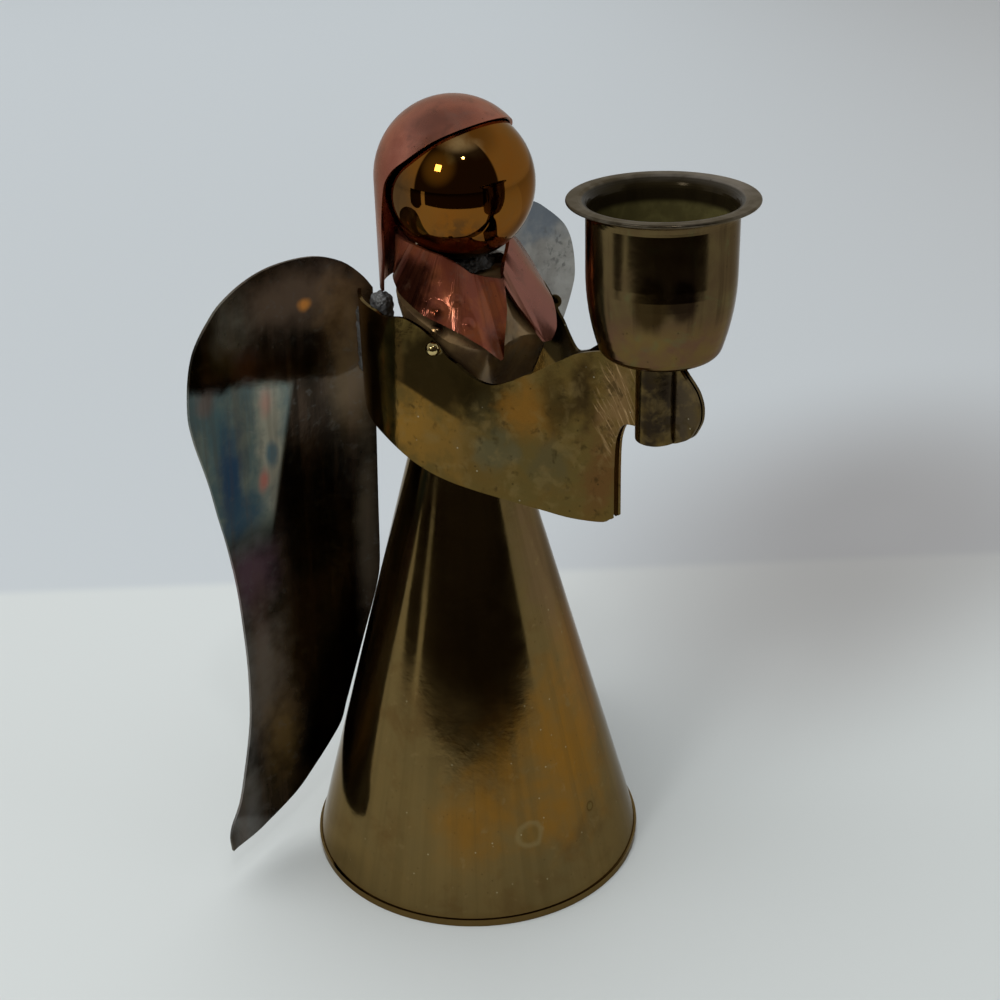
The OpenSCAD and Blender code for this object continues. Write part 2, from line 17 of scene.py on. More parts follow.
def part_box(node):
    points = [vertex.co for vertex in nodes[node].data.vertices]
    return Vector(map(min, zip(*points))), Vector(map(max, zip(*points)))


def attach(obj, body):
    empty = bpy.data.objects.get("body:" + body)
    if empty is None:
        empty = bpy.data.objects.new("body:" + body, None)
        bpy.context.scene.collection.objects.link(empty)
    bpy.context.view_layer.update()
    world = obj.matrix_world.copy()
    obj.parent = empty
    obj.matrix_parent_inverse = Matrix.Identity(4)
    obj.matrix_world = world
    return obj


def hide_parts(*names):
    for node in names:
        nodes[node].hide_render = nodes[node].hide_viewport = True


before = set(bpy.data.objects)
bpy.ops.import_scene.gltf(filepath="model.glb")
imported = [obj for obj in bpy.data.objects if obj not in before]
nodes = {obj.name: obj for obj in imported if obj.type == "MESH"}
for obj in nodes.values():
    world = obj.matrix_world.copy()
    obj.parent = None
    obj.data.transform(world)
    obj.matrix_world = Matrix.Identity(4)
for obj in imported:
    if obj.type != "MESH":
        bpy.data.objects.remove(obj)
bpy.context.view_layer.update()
bpy.ops.object.select_all(action="DESELECT")
MM = 0.001
print("pieces in the frame:", len(nodes))

# %% [markdown]
# The camera stands where the photographer stood: in front of the angel, on
# its right side and a little above its head. Where the lines of the skirt and
# of the candle cup run in the photograph gives the lens and the tilt. The
# picture was cropped, so the lens is shifted a little to the side.

# %% Camera
camera_place = Vector((-192.2, -199.0, 214.4)) * MM
camera_aim = Vector((-0.5, 0.5, 75.0)) * MM
camera_roll = math.radians(-2.25)
bpy.ops.object.camera_add(location=camera_place)
camera = bpy.context.object
camera.name = "camera"
look = (camera_aim - camera_place).to_track_quat("-Z", "Y").to_matrix()
camera.rotation_euler = (look @ Matrix.Rotation(camera_roll, 3, "Z")).to_euler()
camera.data.sensor_width = 36.0
camera.data.lens = 58.25
camera.data.shift_x = 0.0378
camera.data.shift_y = 0.0038
camera.data.clip_start = 0.01
bpy.context.scene.camera = camera
bpy.context.scene.view_settings.view_transform = "Standard"
print("camera to angel: %.0f mm" % ((camera_aim - camera_place).length / MM))

# %% [markdown]
# A few short helpers keep the node trees readable. The first adds a node and
# sets it up, the second gives a socket either a plain value or a link, and
# the others add the nodes that are used all the time.

# %% Node helpers
def add_node(tree, kind, **settings):
    node = tree.nodes.new("ShaderNode" + kind)
    for name, value in settings.items():
        setattr(node, name, value)
    return node


def feed(tree, socket, value):
    if isinstance(value, bpy.types.NodeSocket):
        tree.links.new(value, socket)
    else:
        socket.default_value = value


def math_node(tree, operation, first, second=0.0):
    node = add_node(tree, "Math", operation=operation)
    feed(tree, node.inputs[0], first)
    feed(tree, node.inputs[1], second)
    return node.outputs[0]


def vector_node(tree, operation, first, second=(0.0, 0.0, 0.0)):
    node = add_node(tree, "VectorMath", operation=operation)
    feed(tree, node.inputs[0], first)
    feed(tree, node.inputs[1], second)
    return node.outputs["Value" if operation in ("LENGTH", "DOT_PRODUCT") else "Vector"]


def axes_of(tree, vector):
    node = add_node(tree, "SeparateXYZ")
    feed(tree, node.inputs[0], vector)
    return node.outputs


def spread(tree, value, low, high, to_low=0.0, to_high=1.0):
    node = add_node(tree, "MapRange", interpolation_type="SMOOTHSTEP")
    for socket, given in zip(node.inputs[:5], (value, low, high, to_low, to_high)):
        feed(tree, socket, given)
    return node.outputs[0]


def mix_colour(tree, amount, first, second):
    node = add_node(tree, "Mix", data_type="RGBA")
    feed(tree, node.inputs["Factor"], amount)
    feed(tree, node.inputs["A"], first)
    feed(tree, node.inputs["B"], second)
    return node.outputs["Result"]


print("node helpers are ready")

# %% [markdown]
# Polished metal has no look of its own: it shows its surroundings. The
# photograph was taken in a room that is dark behind the photographer and pale
# at the back and on the right, and each round of brass carries that as a dark
# stripe between two paler ones. The world is made of the same two halves. The
# dark one ends below the ceiling and glows a little round the ceiling lamp.
# Every colour depends only on the direction, so the room is the same from
# every side.

# %% World
room_middle = Vector((-0.766, -0.643, 0.0))
room_edges = (0.37, 0.43)
room_top = (0.82, 0.97)
ceiling_edges = (0.55, 0.95)
lamp_heading = Vector((-0.823, -0.115, 0.557))
glow_edges = (0.86, 1.0)
lamp_glow = (0.26, 0.25, 0.16, 1.0)
room_dark = (0.035, 0.030, 0.026, 1.0)
room_pale = (0.58, 0.61, 0.63, 1.0)
room_ceiling = (0.34, 0.35, 0.35, 1.0)

world = bpy.data.worlds.new("room")
bpy.context.scene.world = world
world.use_nodes = True
sky = world.node_tree
direction = add_node(sky, "TexCoord").outputs["Generated"]
flat = vector_node(sky, "MULTIPLY", direction, (1.0, 1.0, 0.0))
heading = vector_node(sky, "NORMALIZE", flat)
facing_room = vector_node(sky, "DOT_PRODUCT", heading, room_middle)
height = axes_of(sky, direction)["Z"]
upwards = spread(sky, height, *ceiling_edges)
walls = mix_colour(sky, upwards, room_pale, room_ceiling)
in_room = spread(sky, facing_room, *room_edges)
below_top = spread(sky, height, *room_top, 1.0, 0.0)
in_room = math_node(sky, "MULTIPLY", in_room, below_top)
towards_lamp = vector_node(sky, "DOT_PRODUCT", direction, lamp_heading)
near_lamp = spread(sky, towards_lamp, *glow_edges)
dark_side = mix_colour(sky, near_lamp, room_dark, lamp_glow)
room_colour = mix_colour(sky, in_room, walls, dark_side)
feed(sky, sky.nodes["Background"].inputs["Color"], room_colour)
print("world: dark towards", [round(v, 2) for v in room_middle])

# %% [markdown]
# Two small lamps hang over the table. The ball of the head mirrors them as
# one square spot and one small round spot, and from where the spots sit on
# the ball follow the directions to the lamps. Alone they would throw hard
# shadows, so a broad panel above fills the table with soft light. It is kept
# out of the mirrors, because the photograph shows no such panel in the brass.

# %% Lamps
head_centre = (Vector(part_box("head")[0]) + Vector(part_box("head")[1])) / 2


def hang_lamp(name, direction, distance, size, power, shape):
    place = head_centre + Vector(direction).normalized() * distance
    bpy.ops.object.light_add(type="AREA", location=place)
    lamp = bpy.context.object
    lamp.name = name
    lamp.data.shape = shape
    lamp.data.size = size
    lamp.data.energy = power
    lamp.rotation_euler = (head_centre - place).to_track_quat("-Z", "Y").to_euler()
    print(name, "at", [round(v, 2) for v in place], "m,", power, "W")
    return lamp


hang_lamp("ceiling_panel", lamp_heading, 1.6, 0.26, 4.0, "SQUARE")
hang_lamp("spot_lamp", (-0.36, -0.52, 0.775), 1.6, 0.10, 1.6, "DISK")
soft_fill = hang_lamp("soft_fill", (-0.25, 0.20, 1.0), 1.5, 2.2, 24.0, "SQUARE")
soft_fill.visible_glossy = False

# %% [markdown]
# The angel stands on a white sheet of card. Where the sheet ends behind it,
# the floor takes the colour of the wall in the photograph: a touch bluer and
# darker, greyer to the right with painted shade, and paler with distance to
# make up for the lamps falling off. From about a metre on it glows a little
# instead, so that the mirrors see no dark horizon. The photograph also has a
# soft brown shadow on the right that these lamps don't throw, so two shades
# are laid into the floor's colour. The floor isn't part of the object, so it
# is a stage.

# %% Floor
floor_size = 12.0
sheet_colour = (0.62, 0.650, 0.645, 1.0)
wall_colour = (0.53, 0.565, 0.59, 1.0)
far_colour = (0.74, 0.79, 0.83, 1.0)
sheet_end = 0.105
sheet_edge = (-0.002, 0.004)
sheet_heading = Vector((0.69, 0.72, 0.0))
wall_far_off = 1.6
shaded_right_colour = (0.50, 0.505, 0.51, 1.0)
right_heading = Vector((0.71, -0.70, 0.0))
right_reach = (0.0, 0.45)
glow_reach = (0.9, 2.6)
far_glow = (0.47, 0.50, 0.52, 1.0)
no_light = (0.0, 0.0, 0.0, 1.0)
shade_colour = (0.22, 0.19, 0.18, 1.0)
floor_shades = (((0.17, 0.01, 0.0), (0.15, 0.10, 1.0), 0.60),
                ((0.10, -0.01, 0.0), (0.07, 0.05, 1.0), 0.22))

bpy.ops.mesh.primitive_plane_add(size=floor_size)
floor = bpy.context.object
floor.name = "floor"
white_card = bpy.data.materials.new("white card")
white_card.use_nodes = True
tree = white_card.node_tree
shader = tree.nodes["Principled BSDF"]
floor_place = add_node(tree, "TexCoord").outputs["Object"]
behind = vector_node(tree, "DOT_PRODUCT", floor_place, sheet_heading)
past_end = spread(tree, behind, *(sheet_end + step for step in sheet_edge))
far_off = spread(tree, behind, sheet_end, wall_far_off)
wall = mix_colour(tree, far_off, wall_colour, far_colour)
sideways = vector_node(tree, "DOT_PRODUCT", floor_place, right_heading)
# painted shade: the wall turns greyer towards the right
wall = mix_colour(tree, spread(tree, sideways, *right_reach), wall, shaded_right_colour)
ground = mix_colour(tree, past_end, sheet_colour, wall)
for middle, reach, amount in floor_shades:
    away = vector_node(tree, "SUBTRACT", floor_place, middle)
    away = vector_node(tree, "LENGTH", vector_node(tree, "DIVIDE", away, reach))
    shaded = math_node(tree, "MULTIPLY", spread(tree, away, 0.1, 1.0, 1.0, 0.0), amount)
    ground = mix_colour(tree, shaded, ground, shade_colour)
far_floor = spread(tree, vector_node(tree, "LENGTH", floor_place), *glow_reach)
feed(tree, shader.inputs["Base Color"], mix_colour(tree, far_floor, ground, no_light))
feed(tree, shader.inputs["Emission Color"], mix_colour(tree, far_floor, no_light, far_glow))
shader.inputs["Emission Strength"].default_value = 1.0
shader.inputs["Roughness"].default_value = 0.65
floor.data.materials.append(white_card)
print("floor:", floor_size, "m")

# %% [markdown]
# Photographers put a black card in front of polished metal to give it dark
# stripes. Here the table ended in front of the angel, and the cup, the head
# and the skirt all mirror the dark beyond its edge. A dark fan on the floor
# does that, with a narrow one beside it, because the cup mirrors a second,
# thin stripe. Only mirrors see the fans, so the floor stays plain from every
# side. They reach past its edge, or else a bright line would be mirrored
# between them and the dark half of the room. Each is a grid that is bent into
# a fan, with rounded corners at its near end.

# %% Dark card in front
card_near, card_far = 0.32, 8.6
card_arcs = ((147.0, 19.0), (172.0, 115.0))
card_rounding, corner_power = 0.10, 2.5
card_lift = 0.0006

dark_paper = bpy.data.materials.new("dark card")
dark_paper.use_nodes = True
shader = dark_paper.node_tree.nodes["Principled BSDF"]
shader.inputs["Base Color"].default_value = (0.024, 0.018, 0.011, 1.0)
shader.inputs["Roughness"].default_value = 0.9
shader.inputs["Specular IOR Level"].default_value = 0.0
for number, (card_from, card_turn) in enumerate(card_arcs):
    bpy.ops.mesh.primitive_grid_add(x_subdivisions=24, y_subdivisions=2, size=1.0)
    dark_card = bpy.context.object
    dark_card.name = "dark_card_" + str(number + 1)
    for point in dark_card.data.vertices:
        angle = math.radians(card_from + card_turn * (point.co.x + 0.5))
        near = card_near + card_rounding * abs(2.0 * point.co.x) ** corner_power
        reach = near + (card_far - near) * (point.co.y + 0.5)
        point.co = (reach * math.cos(angle), reach * math.sin(angle), card_lift)
    dark_card.data.materials.append(dark_paper)
    dark_card.visible_camera = False
    dark_card.visible_diffuse = False
    dark_card.visible_shadow = False
    print(dark_card.name, len(dark_card.data.polygons), "faces")

# %% [markdown]
# Old brass is never one colour. The same few effects come back on every
# piece: clouds of tarnish, single soft patches, specks, hairline scratches,
# streaks round a turned piece and the ring that a drop of water leaves. Each
# is a node group that is built once and gives out a mask, and every material
# places the groups it needs with values of its own. A mask keeps the colours
# out of the group, so one group serves dark brass and pink copper alike.

# %% Building a node group
SOCKETS = {"Float": "NodeSocketFloat", "Vector": "NodeSocketVector"}


def new_group(name, inputs):
    group = bpy.data.node_groups.new(name, "ShaderNodeTree")
    for socket, (kind, value) in inputs.items():
        made = group.interface.new_socket(socket, in_out="INPUT", socket_type=SOCKETS[kind])
        made.default_value = value
    group.interface.new_socket("Mask", in_out="OUTPUT", socket_type="NodeSocketFloat")
    taken = group.nodes.new("NodeGroupInput").outputs
    given = group.nodes.new("NodeGroupOutput").inputs["Mask"]
    return group, taken, given


def use_group(tree, group, **values):
    node = add_node(tree, "Group", node_tree=group)
    for name, value in values.items():
        feed(tree, node.inputs[name.replace("_", " ")], value)
    return node.outputs["Mask"]


def noise_node(tree, vector, scale, detail=3.0, roughness=0.5):
    node = add_node(tree, "TexNoise")
    feed(tree, node.inputs["Vector"], vector)
    feed(tree, node.inputs["Scale"], scale)
    feed(tree, node.inputs["Detail"], detail)
    feed(tree, node.inputs["Roughness"], roughness)
    return node


def own_place(tree):
    return add_node(tree, "TexCoord").outputs["Object"]


print("group helpers are ready")

# %% [markdown]
# Clouds of tarnish are a noise of a given size in metres, cut between a low
# and a high value. A shift moves the pattern, so that two materials, or two
# uses in one, don't show the same cloud.

# %% Group: tarnish clouds
clouds, taken, given = new_group("tarnish clouds", {
    "Size": ("Float", 0.01), "Low": ("Float", 0.4), "High": ("Float", 0.6),
    "Shift": ("Vector", (0.0, 0.0, 0.0))})
moved = vector_node(clouds, "ADD", own_place(clouds), taken["Shift"])
cloud = noise_node(clouds, moved, math_node(clouds, "DIVIDE", 1.0, taken["Size"]), 6.0, 0.58)
feed(clouds, cloud.inputs["Distortion"], 0.35)
feed(clouds, given, spread(clouds, cloud.outputs["Fac"], taken["Low"], taken["High"]))
print("group:", clouds.name)

# %% [markdown]
# A soft patch is a stretched ball of colour at one place on the piece. The
# mask is full in its core and fades out to its reach, and noise pushes that
# edge in and out, as a flame or a finger leaves it.

# %% Group: soft patch
patch, taken, given = new_group("soft patch", {
    "At": ("Vector", (0.0, 0.0, 0.0)), "Centre": ("Vector", (0.0, 0.0, 0.0)),
    "Reach": ("Vector", (0.01, 0.01, 0.01)), "Ragged": ("Float", 0.3), "Core": ("Float", 0.45)})
at = taken["At"]
away = vector_node(patch, "DIVIDE", vector_node(patch, "SUBTRACT", at, taken["Centre"]), taken["Reach"])
ragged_scale, ragged_gain = 260.0, 4.0
push = noise_node(patch, at, ragged_scale, 4.0).outputs["Fac"]
push = math_node(patch, "MULTIPLY", math_node(patch, "SUBTRACT", push, 0.5), taken["Ragged"])
push = math_node(patch, "MULTIPLY", push, ragged_gain)
far = math_node(patch, "ADD", vector_node(patch, "LENGTH", away), push)
feed(patch, given, spread(patch, far, taken["Core"], 1.0, 1.0, 0.0))


def soft_patch(tree, centre, reach, ragged=0.25, core=0.4, at=None):
    return use_group(tree, patch, At=at or own_place(tree), Centre=[value * MM for value in centre],
                     Reach=[value * MM for value in reach], Ragged=ragged, Core=core)


print("group:", patch.name)

# %% [markdown]
# Specks are cells of a Voronoi pattern. Only a small share of the cells is
# kept, and of each only its middle.

# %% Group: fine specks
specks, taken, given = new_group("fine specks", {
    "Size": ("Float", 0.001), "Share": ("Float", 0.05)})
cells = add_node(specks, "TexVoronoi")
feed(specks, cells.inputs["Vector"], own_place(specks))
feed(specks, cells.inputs["Scale"], math_node(specks, "DIVIDE", 1.0, taken["Size"]))
speck_middle = spread(specks, cells.outputs["Distance"], 0.12, 0.30, 1.0, 0.0)
speck_draw = add_node(specks, "SeparateColor")
feed(specks, speck_draw.inputs[0], cells.outputs["Color"])
kept = math_node(specks, "LESS_THAN", speck_draw.outputs[0], taken["Share"])
feed(specks, given, math_node(specks, "MULTIPLY", speck_middle, kept))
print("group:", specks.name)

# %% [markdown]
# Hairlines are a noise that is squeezed across the stroke and drawn out along
# it. The pattern is turned first, so that the stroke can lie at any slant.

# %% Group: hairlines
hairlines, taken, given = new_group("hairlines", {
    "Turn": ("Vector", (0.0, 0.0, 0.0)), "Lines": ("Vector", (300.0, 300.0, 20.0)),
    "Low": ("Float", 0.6), "High": ("Float", 0.7)})
turned = add_node(hairlines, "VectorRotate", rotation_type="EULER_XYZ")
feed(hairlines, turned.inputs["Vector"], own_place(hairlines))
feed(hairlines, turned.inputs["Rotation"], taken["Turn"])
drawn = vector_node(hairlines, "MULTIPLY", turned.outputs[0], taken["Lines"])
stroke = noise_node(hairlines, drawn, 1.0, 3.0, 0.6).outputs["Fac"]
feed(hairlines, given, spread(hairlines, stroke, taken["Low"], taken["High"]))
print("group:", hairlines.name)

# %% [markdown]
# A turned or rolled piece carries streaks that run up and down and differ
# only round its axis. The angle round the axis is taken as a direction, so
# there is no seam where it passes half a turn.

# %% Group: streaks round an axis
streaks, taken, given = new_group("streaks round an axis", {
    "Axis": ("Vector", (0.0, 0.0, 0.0)), "Lines": ("Float", 8.0), "Along": ("Float", 12.0),
    "Low": ("Float", 0.4), "High": ("Float", 0.6)})
from_axis = vector_node(streaks, "SUBTRACT", own_place(streaks), taken["Axis"])
round_it = vector_node(streaks, "NORMALIZE", vector_node(streaks, "MULTIPLY", from_axis, (1.0, 1.0, 0.0)))
round_it = vector_node(streaks, "SCALE", round_it)
feed(streaks, round_it.node.inputs["Scale"], taken["Lines"])
height = axes_of(streaks, from_axis)["Z"]
lift = add_node(streaks, "CombineXYZ")
feed(streaks, lift.inputs["Z"], math_node(streaks, "MULTIPLY", height, taken["Along"]))
streak = noise_node(streaks, vector_node(streaks, "ADD", round_it, lift.outputs[0]), 1.0, 4.0, 0.6)
feed(streaks, given, spread(streaks, streak.outputs["Fac"], taken["Low"], taken["High"]))
print("group:", streaks.name)

# %% [markdown]
# A drop of water dries to a ring. The mask is strong close to a circle of the
# given reach round the centre, and noise makes that circle wobble.

# %% Group: water ring
ring, taken, given = new_group("water ring", {
    "Centre": ("Vector", (0.0, 0.0, 0.0)), "Reach": ("Vector", (0.003, 0.003, 0.003)),
    "Width": ("Float", 0.25)})
at = own_place(ring)
wobble = math_node(ring, "MULTIPLY", noise_node(ring, at, 400.0, 2.0).outputs["Fac"], 0.5)
off = vector_node(ring, "DIVIDE", vector_node(ring, "SUBTRACT", at, taken["Centre"]), taken["Reach"])
off = math_node(ring, "ADD", vector_node(ring, "LENGTH", off), math_node(ring, "SUBTRACT", wobble, 0.25))
off = math_node(ring, "ABSOLUTE", math_node(ring, "SUBTRACT", off, 1.0))
feed(ring, given, spread(ring, off, 0.0, taken["Width"], 1.0, 0.0))
print("group:", ring.name)

# %% [markdown]
# Every piece but the floor is bare metal, so all materials start alike: a
# Principled shader that is metallic all over, with a warm tint where it is
# seen at a grazing angle. A material is then a base colour that masks tint
# step by step, a roughness that follows the tarnish and a very low bump,
# because hand-bent sheet is never quite flat and its reflections waver.

# %% Metal helpers
edge_tint = (0.72, 0.66, 0.58, 1.0)


def new_metal(slot):
    metal = bpy.data.materials.new(slot.replace("_", " "))
    metal.use_nodes = True
    tree = metal.node_tree
    shader = tree.nodes["Principled BSDF"]
    shader.inputs["Metallic"].default_value = 1.0
    shader.inputs["Specular Tint"].default_value = edge_tint
    return metal, tree, shader


def colour(red, green, blue):
    return (red, green, blue, 1.0)


def mm(*values):
    return tuple(value * MM for value in values)


def tint(tree, under, over, mask, amount=1.0):
    if amount != 1.0:
        mask = math_node(tree, "MULTIPLY", mask, amount)
    return mix_colour(tree, mask, under, over)


def add_patches(tree, base, patches, ragged, core, at=None, stretch=1.0):
    for name, middle, reach, shade, amount in patches:
        spot = soft_patch(tree, middle, [size * stretch for size in reach], ragged, core, at)
        base = tint(tree, base, colour(*shade), spot, amount)
    return base


def add_bump(tree, shader, height, depth_mm, before=None):
    bump = add_node(tree, "Bump")
    bump.inputs["Strength"].default_value = 1.0
    bump.inputs["Distance"].default_value = depth_mm * MM
    feed(tree, bump.inputs["Height"], height)
    if before:
        feed(tree, bump.inputs["Normal"], before)
    feed(tree, shader.inputs["Normal"], bump.outputs[0])
    return bump.outputs[0]


def mix_value(tree, amount, first, second):
    node = add_node(tree, "Mix", data_type="FLOAT")
    feed(tree, node.inputs["Factor"], amount)
    feed(tree, node.inputs["A"], first)
    feed(tree, node.inputs["B"], second)
    return node.outputs["Result"]


def polish(tree, mask, smoothest, dulled_by):
    rough = math_node(tree, "MULTIPLY_ADD", mask, dulled_by)
    feed(tree, rough.node.inputs[2], smoothest)
    return rough


def finish_metal(tree, shader, base, roughness):
    feed(tree, shader.inputs["Base Color"], base)
    feed(tree, shader.inputs["Roughness"], roughness)


def tarnish(tree, size_mm, low=0.2, high=0.8, shift=(0.0, 0.0, 0.0)):
    return use_group(tree, clouds, Size=size_mm * MM, Low=low, High=high, Shift=shift)


metals = {}
print("metal helpers are ready")

# %% [markdown]
# The skirt is rolled brass that has turned olive, with an orange-brown bloom
# low on its front where hands and heat reached it. It keeps a low polish:
# roughness is small, but rises in the tarnish. Streaks run from foot to top,
# because the sheet was drawn that way.

# %% Skirt brass
metal, tree, shader = new_metal("skirt_brass")
olive, orange = colour(0.145, 0.100, 0.038), colour(0.245, 0.112, 0.016)
grey_tan, brown = colour(0.170, 0.102, 0.048), colour(0.110, 0.056, 0.016)
base = tint(tree, olive, colour(0.175, 0.112, 0.038), tarnish(tree, 16))
base = tint(tree, base, brown, tarnish(tree, 9, 0.50, 0.72, (0.1, 0, 0)), 0.55)
bloom = math_node(tree, "MULTIPLY",
                  soft_patch(tree, (-4, -24, 30), (24, 19, 25), 0.20, 0.20),
                  tarnish(tree, 14, 0.18, 0.58, (0, 0.2, 0)))
base = tint(tree, base, orange, bloom, 0.95)
base = tint(tree, base, orange, soft_patch(tree, (-20, -18, 20), (11, 9, 13), 0.2, 0.1), 0.75)
base = tint(tree, base, colour(0.265, 0.128, 0.032),
            soft_patch(tree, (11, -19, 46), (12, 12, 28), 0.2, 0.1), 0.9)
back_bloom = math_node(tree, "MULTIPLY",
                       soft_patch(tree, (12, 26, 40), (22, 18, 26), 0.35, 0.30),
                       tarnish(tree, 12, 0.38, 0.58, (0.3, 0, 0)))
base = tint(tree, base, orange, back_bloom, 0.8)
base = tint(tree, base, grey_tan,
            soft_patch(tree, (5, -17, 70), (9, 9, 24), 0.2, 0.40), 0.8)
base = tint(tree, base, colour(0.25, 0.17, 0.07), tarnish(tree, 2.2, 0.60, 0.72, (0, 0, 0.3)), 0.35)
skirt_streak = use_group(tree, streaks, Lines=16.0, Along=9.0, Low=0.42, High=0.66)
base = tint(tree, base, colour(0.105, 0.070, 0.024), skirt_streak, 0.30)
pale_rim, dark_rim = colour(0.250, 0.185, 0.080), colour(0.09, 0.05, 0.012)
water_marks = (
    ((-11.8, -26.4, 16.7), (2.5, 2.5, 2.2), 0.45, pale_rim),
    ((3.0, -28.8, 16.6), (0.9, 0.9, 0.9), 0.9, dark_rim),
    ((27.0, 12.0, 22.0), (2.2, 2.2, 2.6), 0.6, pale_rim))
for middle, reach, depth, rim_colour in water_marks:
    inside = soft_patch(tree, middle, reach, 0.1, 0.7)
    base = tint(tree, base, colour(0.150, 0.105, 0.030), inside, 0.5 * depth)
    rim = use_group(tree, ring, Centre=mm(*middle), Reach=mm(*reach), Width=0.38)
    base = tint(tree, base, rim_colour, rim, depth)
base = tint(tree, base, colour(0.45, 0.38, 0.22), use_group(tree, specks, Size=0.7 * MM, Share=0.012), 0.7)
base = tint(tree, base, colour(0.03, 0.02, 0.008), use_group(tree, specks, Size=0.6 * MM, Share=0.03), 0.6)
hem_top = (0.0014, 0.0030)
foot = spread(tree, axes_of(tree, own_place(tree))["Z"], *hem_top, 1.0, 0.0)
base = tint(tree, base, colour(0.13, 0.078, 0.024), foot, 0.6)
rough = polish(tree, tarnish(tree, 11), 0.080, 0.09)
finish_metal(tree, shader, base, rough)
add_bump(tree, shader, tarnish(tree, 26, 0.1, 0.9), 0.05)
metals["skirt_brass"] = metal
print("finished:", metal.name)

# %% [markdown]
# The sleeves went over the flame at the shoulder and the hand, so they show
# the widest spread: gold at the back, orange and green further on, and a tan
# field near the hand that was scratched with a wire brush. Under the chest lies
# a dark pool of painted shadow, and painted shade sits in the fold near the cuff
# and beside the stem. The painted shadow ends below in a straight slanting line,
# so it is cut off by a plane. The hands are tinned by the solder that holds the
# stem, and the small bead on the near sleeve carries a painted highlight. The
# patches are placed by the distance from the middle of the angel, so both
# sleeves carry them.

# %% Sleeve brass
metal, tree, shader = new_metal("sleeve_brass")
sleeve_at = axes_of(tree, own_place(tree))
from_middle = math_node(tree, "ABSOLUTE", sleeve_at["X"])
folded = add_node(tree, "CombineXYZ")
feed(tree, folded.inputs["X"], math_node(tree, "MULTIPLY", from_middle, -1.0))
feed(tree, folded.inputs["Y"], sleeve_at["Y"])
feed(tree, folded.inputs["Z"], sleeve_at["Z"])
both_sides = folded.outputs[0]
base = tint(tree, colour(0.105, 0.074, 0.022), colour(0.125, 0.072, 0.018), tarnish(tree, 9))
sleeve_patches = (
    ("gold at the back", (-16.3, -4, 98), (9, 11, 9.5), (0.235, 0.120, 0.022), 0.97),
    ("gold below", (-14, -10, 96), (8, 9, 8), (0.185, 0.100, 0.022), 0.8),
    ("dark along the edge", (-15.5, 5, 108), (9, 6, 13), (0.034, 0.019, 0.005), 0.9),
    # painted shade under the chest
    ("painted shade at the chest", (-12.2, -17.5, 107), (8, 7, 8), (0.022, 0.014, 0.004), 0.95),
    ("dark tongue", (-12, -17.5, 102), (4, 4.5, 7), (0.045, 0.034, 0.013), 0.8),
    ("orange", (-8.2, -24.5, 104.0), (6.5, 7.5, 7.5), (0.205, 0.092, 0.015), 0.85),
    ("olive further on", (-5.4, -29.2, 106), (6, 4.8, 8), (0.050, 0.031, 0.009), 0.9),
    ("green", (-11, -19, 96.5), (6, 6.5, 5.5), (0.060, 0.055, 0.024), 0.85),
    ("green further on", (-6.2, -27.5, 94.5), (6, 6.5, 6), (0.085, 0.068, 0.030), 0.7),
    ("brown at the cuff", (-2.2, -35.5, 93), (5, 4.6, 13), (0.120, 0.056, 0.018), 0.85),
    # painted shade in the fold near the cuff
    ("painted shade in the fold", (-3.4, -33.2, 110), (2.6, 3.2, 12), (0.040, 0.024, 0.008), 0.95),
    ("pale smear", (-11.6, -18.5, 95.5), (7, 8, 6), (0.115, 0.090, 0.042), 0.6),
    ("tan at the hand", (-0.8, -38.6, 108), (4, 4.2, 13), (0.180, 0.104, 0.042), 0.9),
    ("tinned hand", (0, -50.5, 110), (9, 9.5, 16), (0.045, 0.032, 0.020), 0.97),
    # painted shade in the fold beside the stem
    ("painted shade by the stem", (-3, -47.2, 110), (3.4, 3.4, 15), (0.022, 0.015, 0.009), 0.9),
    ("pale knuckle", (0, -53.6, 111), (6, 3.4, 12), (0.072, 0.052, 0.030), 0.8))
base = add_patches(tree, base, sleeve_patches, 0.45, 0.15, both_sides)
mottle = use_group(tree, clouds, Size=3.2 * MM, Low=0.50, High=0.68, Shift=(0.05, 0, 0))
base = tint(tree, base, colour(0.20, 0.135, 0.050), mottle, 0.34)
pool_up, pool_line = (0.0, -0.40, 0.916), (0.0976, 0.0984)
# painted shadow under the chest, cut off below by a plane
shadow_pool = soft_patch(tree, (-14, -8.5, 109), (9, 12, 10.5), 0.15, 0.55, both_sides)
above = vector_node(tree, "DOT_PRODUCT", both_sides, pool_up)
shadow_pool = math_node(tree, "MULTIPLY", shadow_pool, spread(tree, above, *pool_line))
base = tint(tree, base, colour(0.016, 0.010, 0.003), shadow_pool, 0.92)
# painted highlight on the bead of the near sleeve
bead = soft_patch(tree, (-16.4, -10.2, 113.9), (2.1, 2.1, 2.1), 0.0, 0.6)
base = tint(tree, base, colour(0.560, 0.430, 0.190), bead)
olive_strip = soft_patch(tree, (-17, -1.5, 111), (4, 2.2, 7), 0.2, 0.3, both_sides)
base = tint(tree, base, colour(0.070, 0.040, 0.011), olive_strip, 0.85)
dark_mottle = use_group(tree, clouds, Size=2.4 * MM, Low=0.55, High=0.70, Shift=(0, 0.07, 0))
base = tint(tree, base, colour(0.030, 0.019, 0.006), dark_mottle, 0.62)
brushed = use_group(tree, hairlines, Turn=(math.radians(28), 0, 0), Lines=(900, 2600, 130),
                    Low=0.52, High=0.66)
hand_field = soft_patch(tree, (0, -38.5, 107), (6, 5.5, 13), 0.25, 0.5)
brushed = math_node(tree, "MULTIPLY", brushed, hand_field)
base = tint(tree, base, colour(0.40, 0.255, 0.12), brushed, 0.8)
base = tint(tree, base, colour(0.45, 0.40, 0.28), use_group(tree, specks, Size=0.7 * MM, Share=0.010), 0.6)
base = tint(tree, base, colour(0.02, 0.012, 0.004), use_group(tree, specks, Size=0.8 * MM, Share=0.03), 0.6)
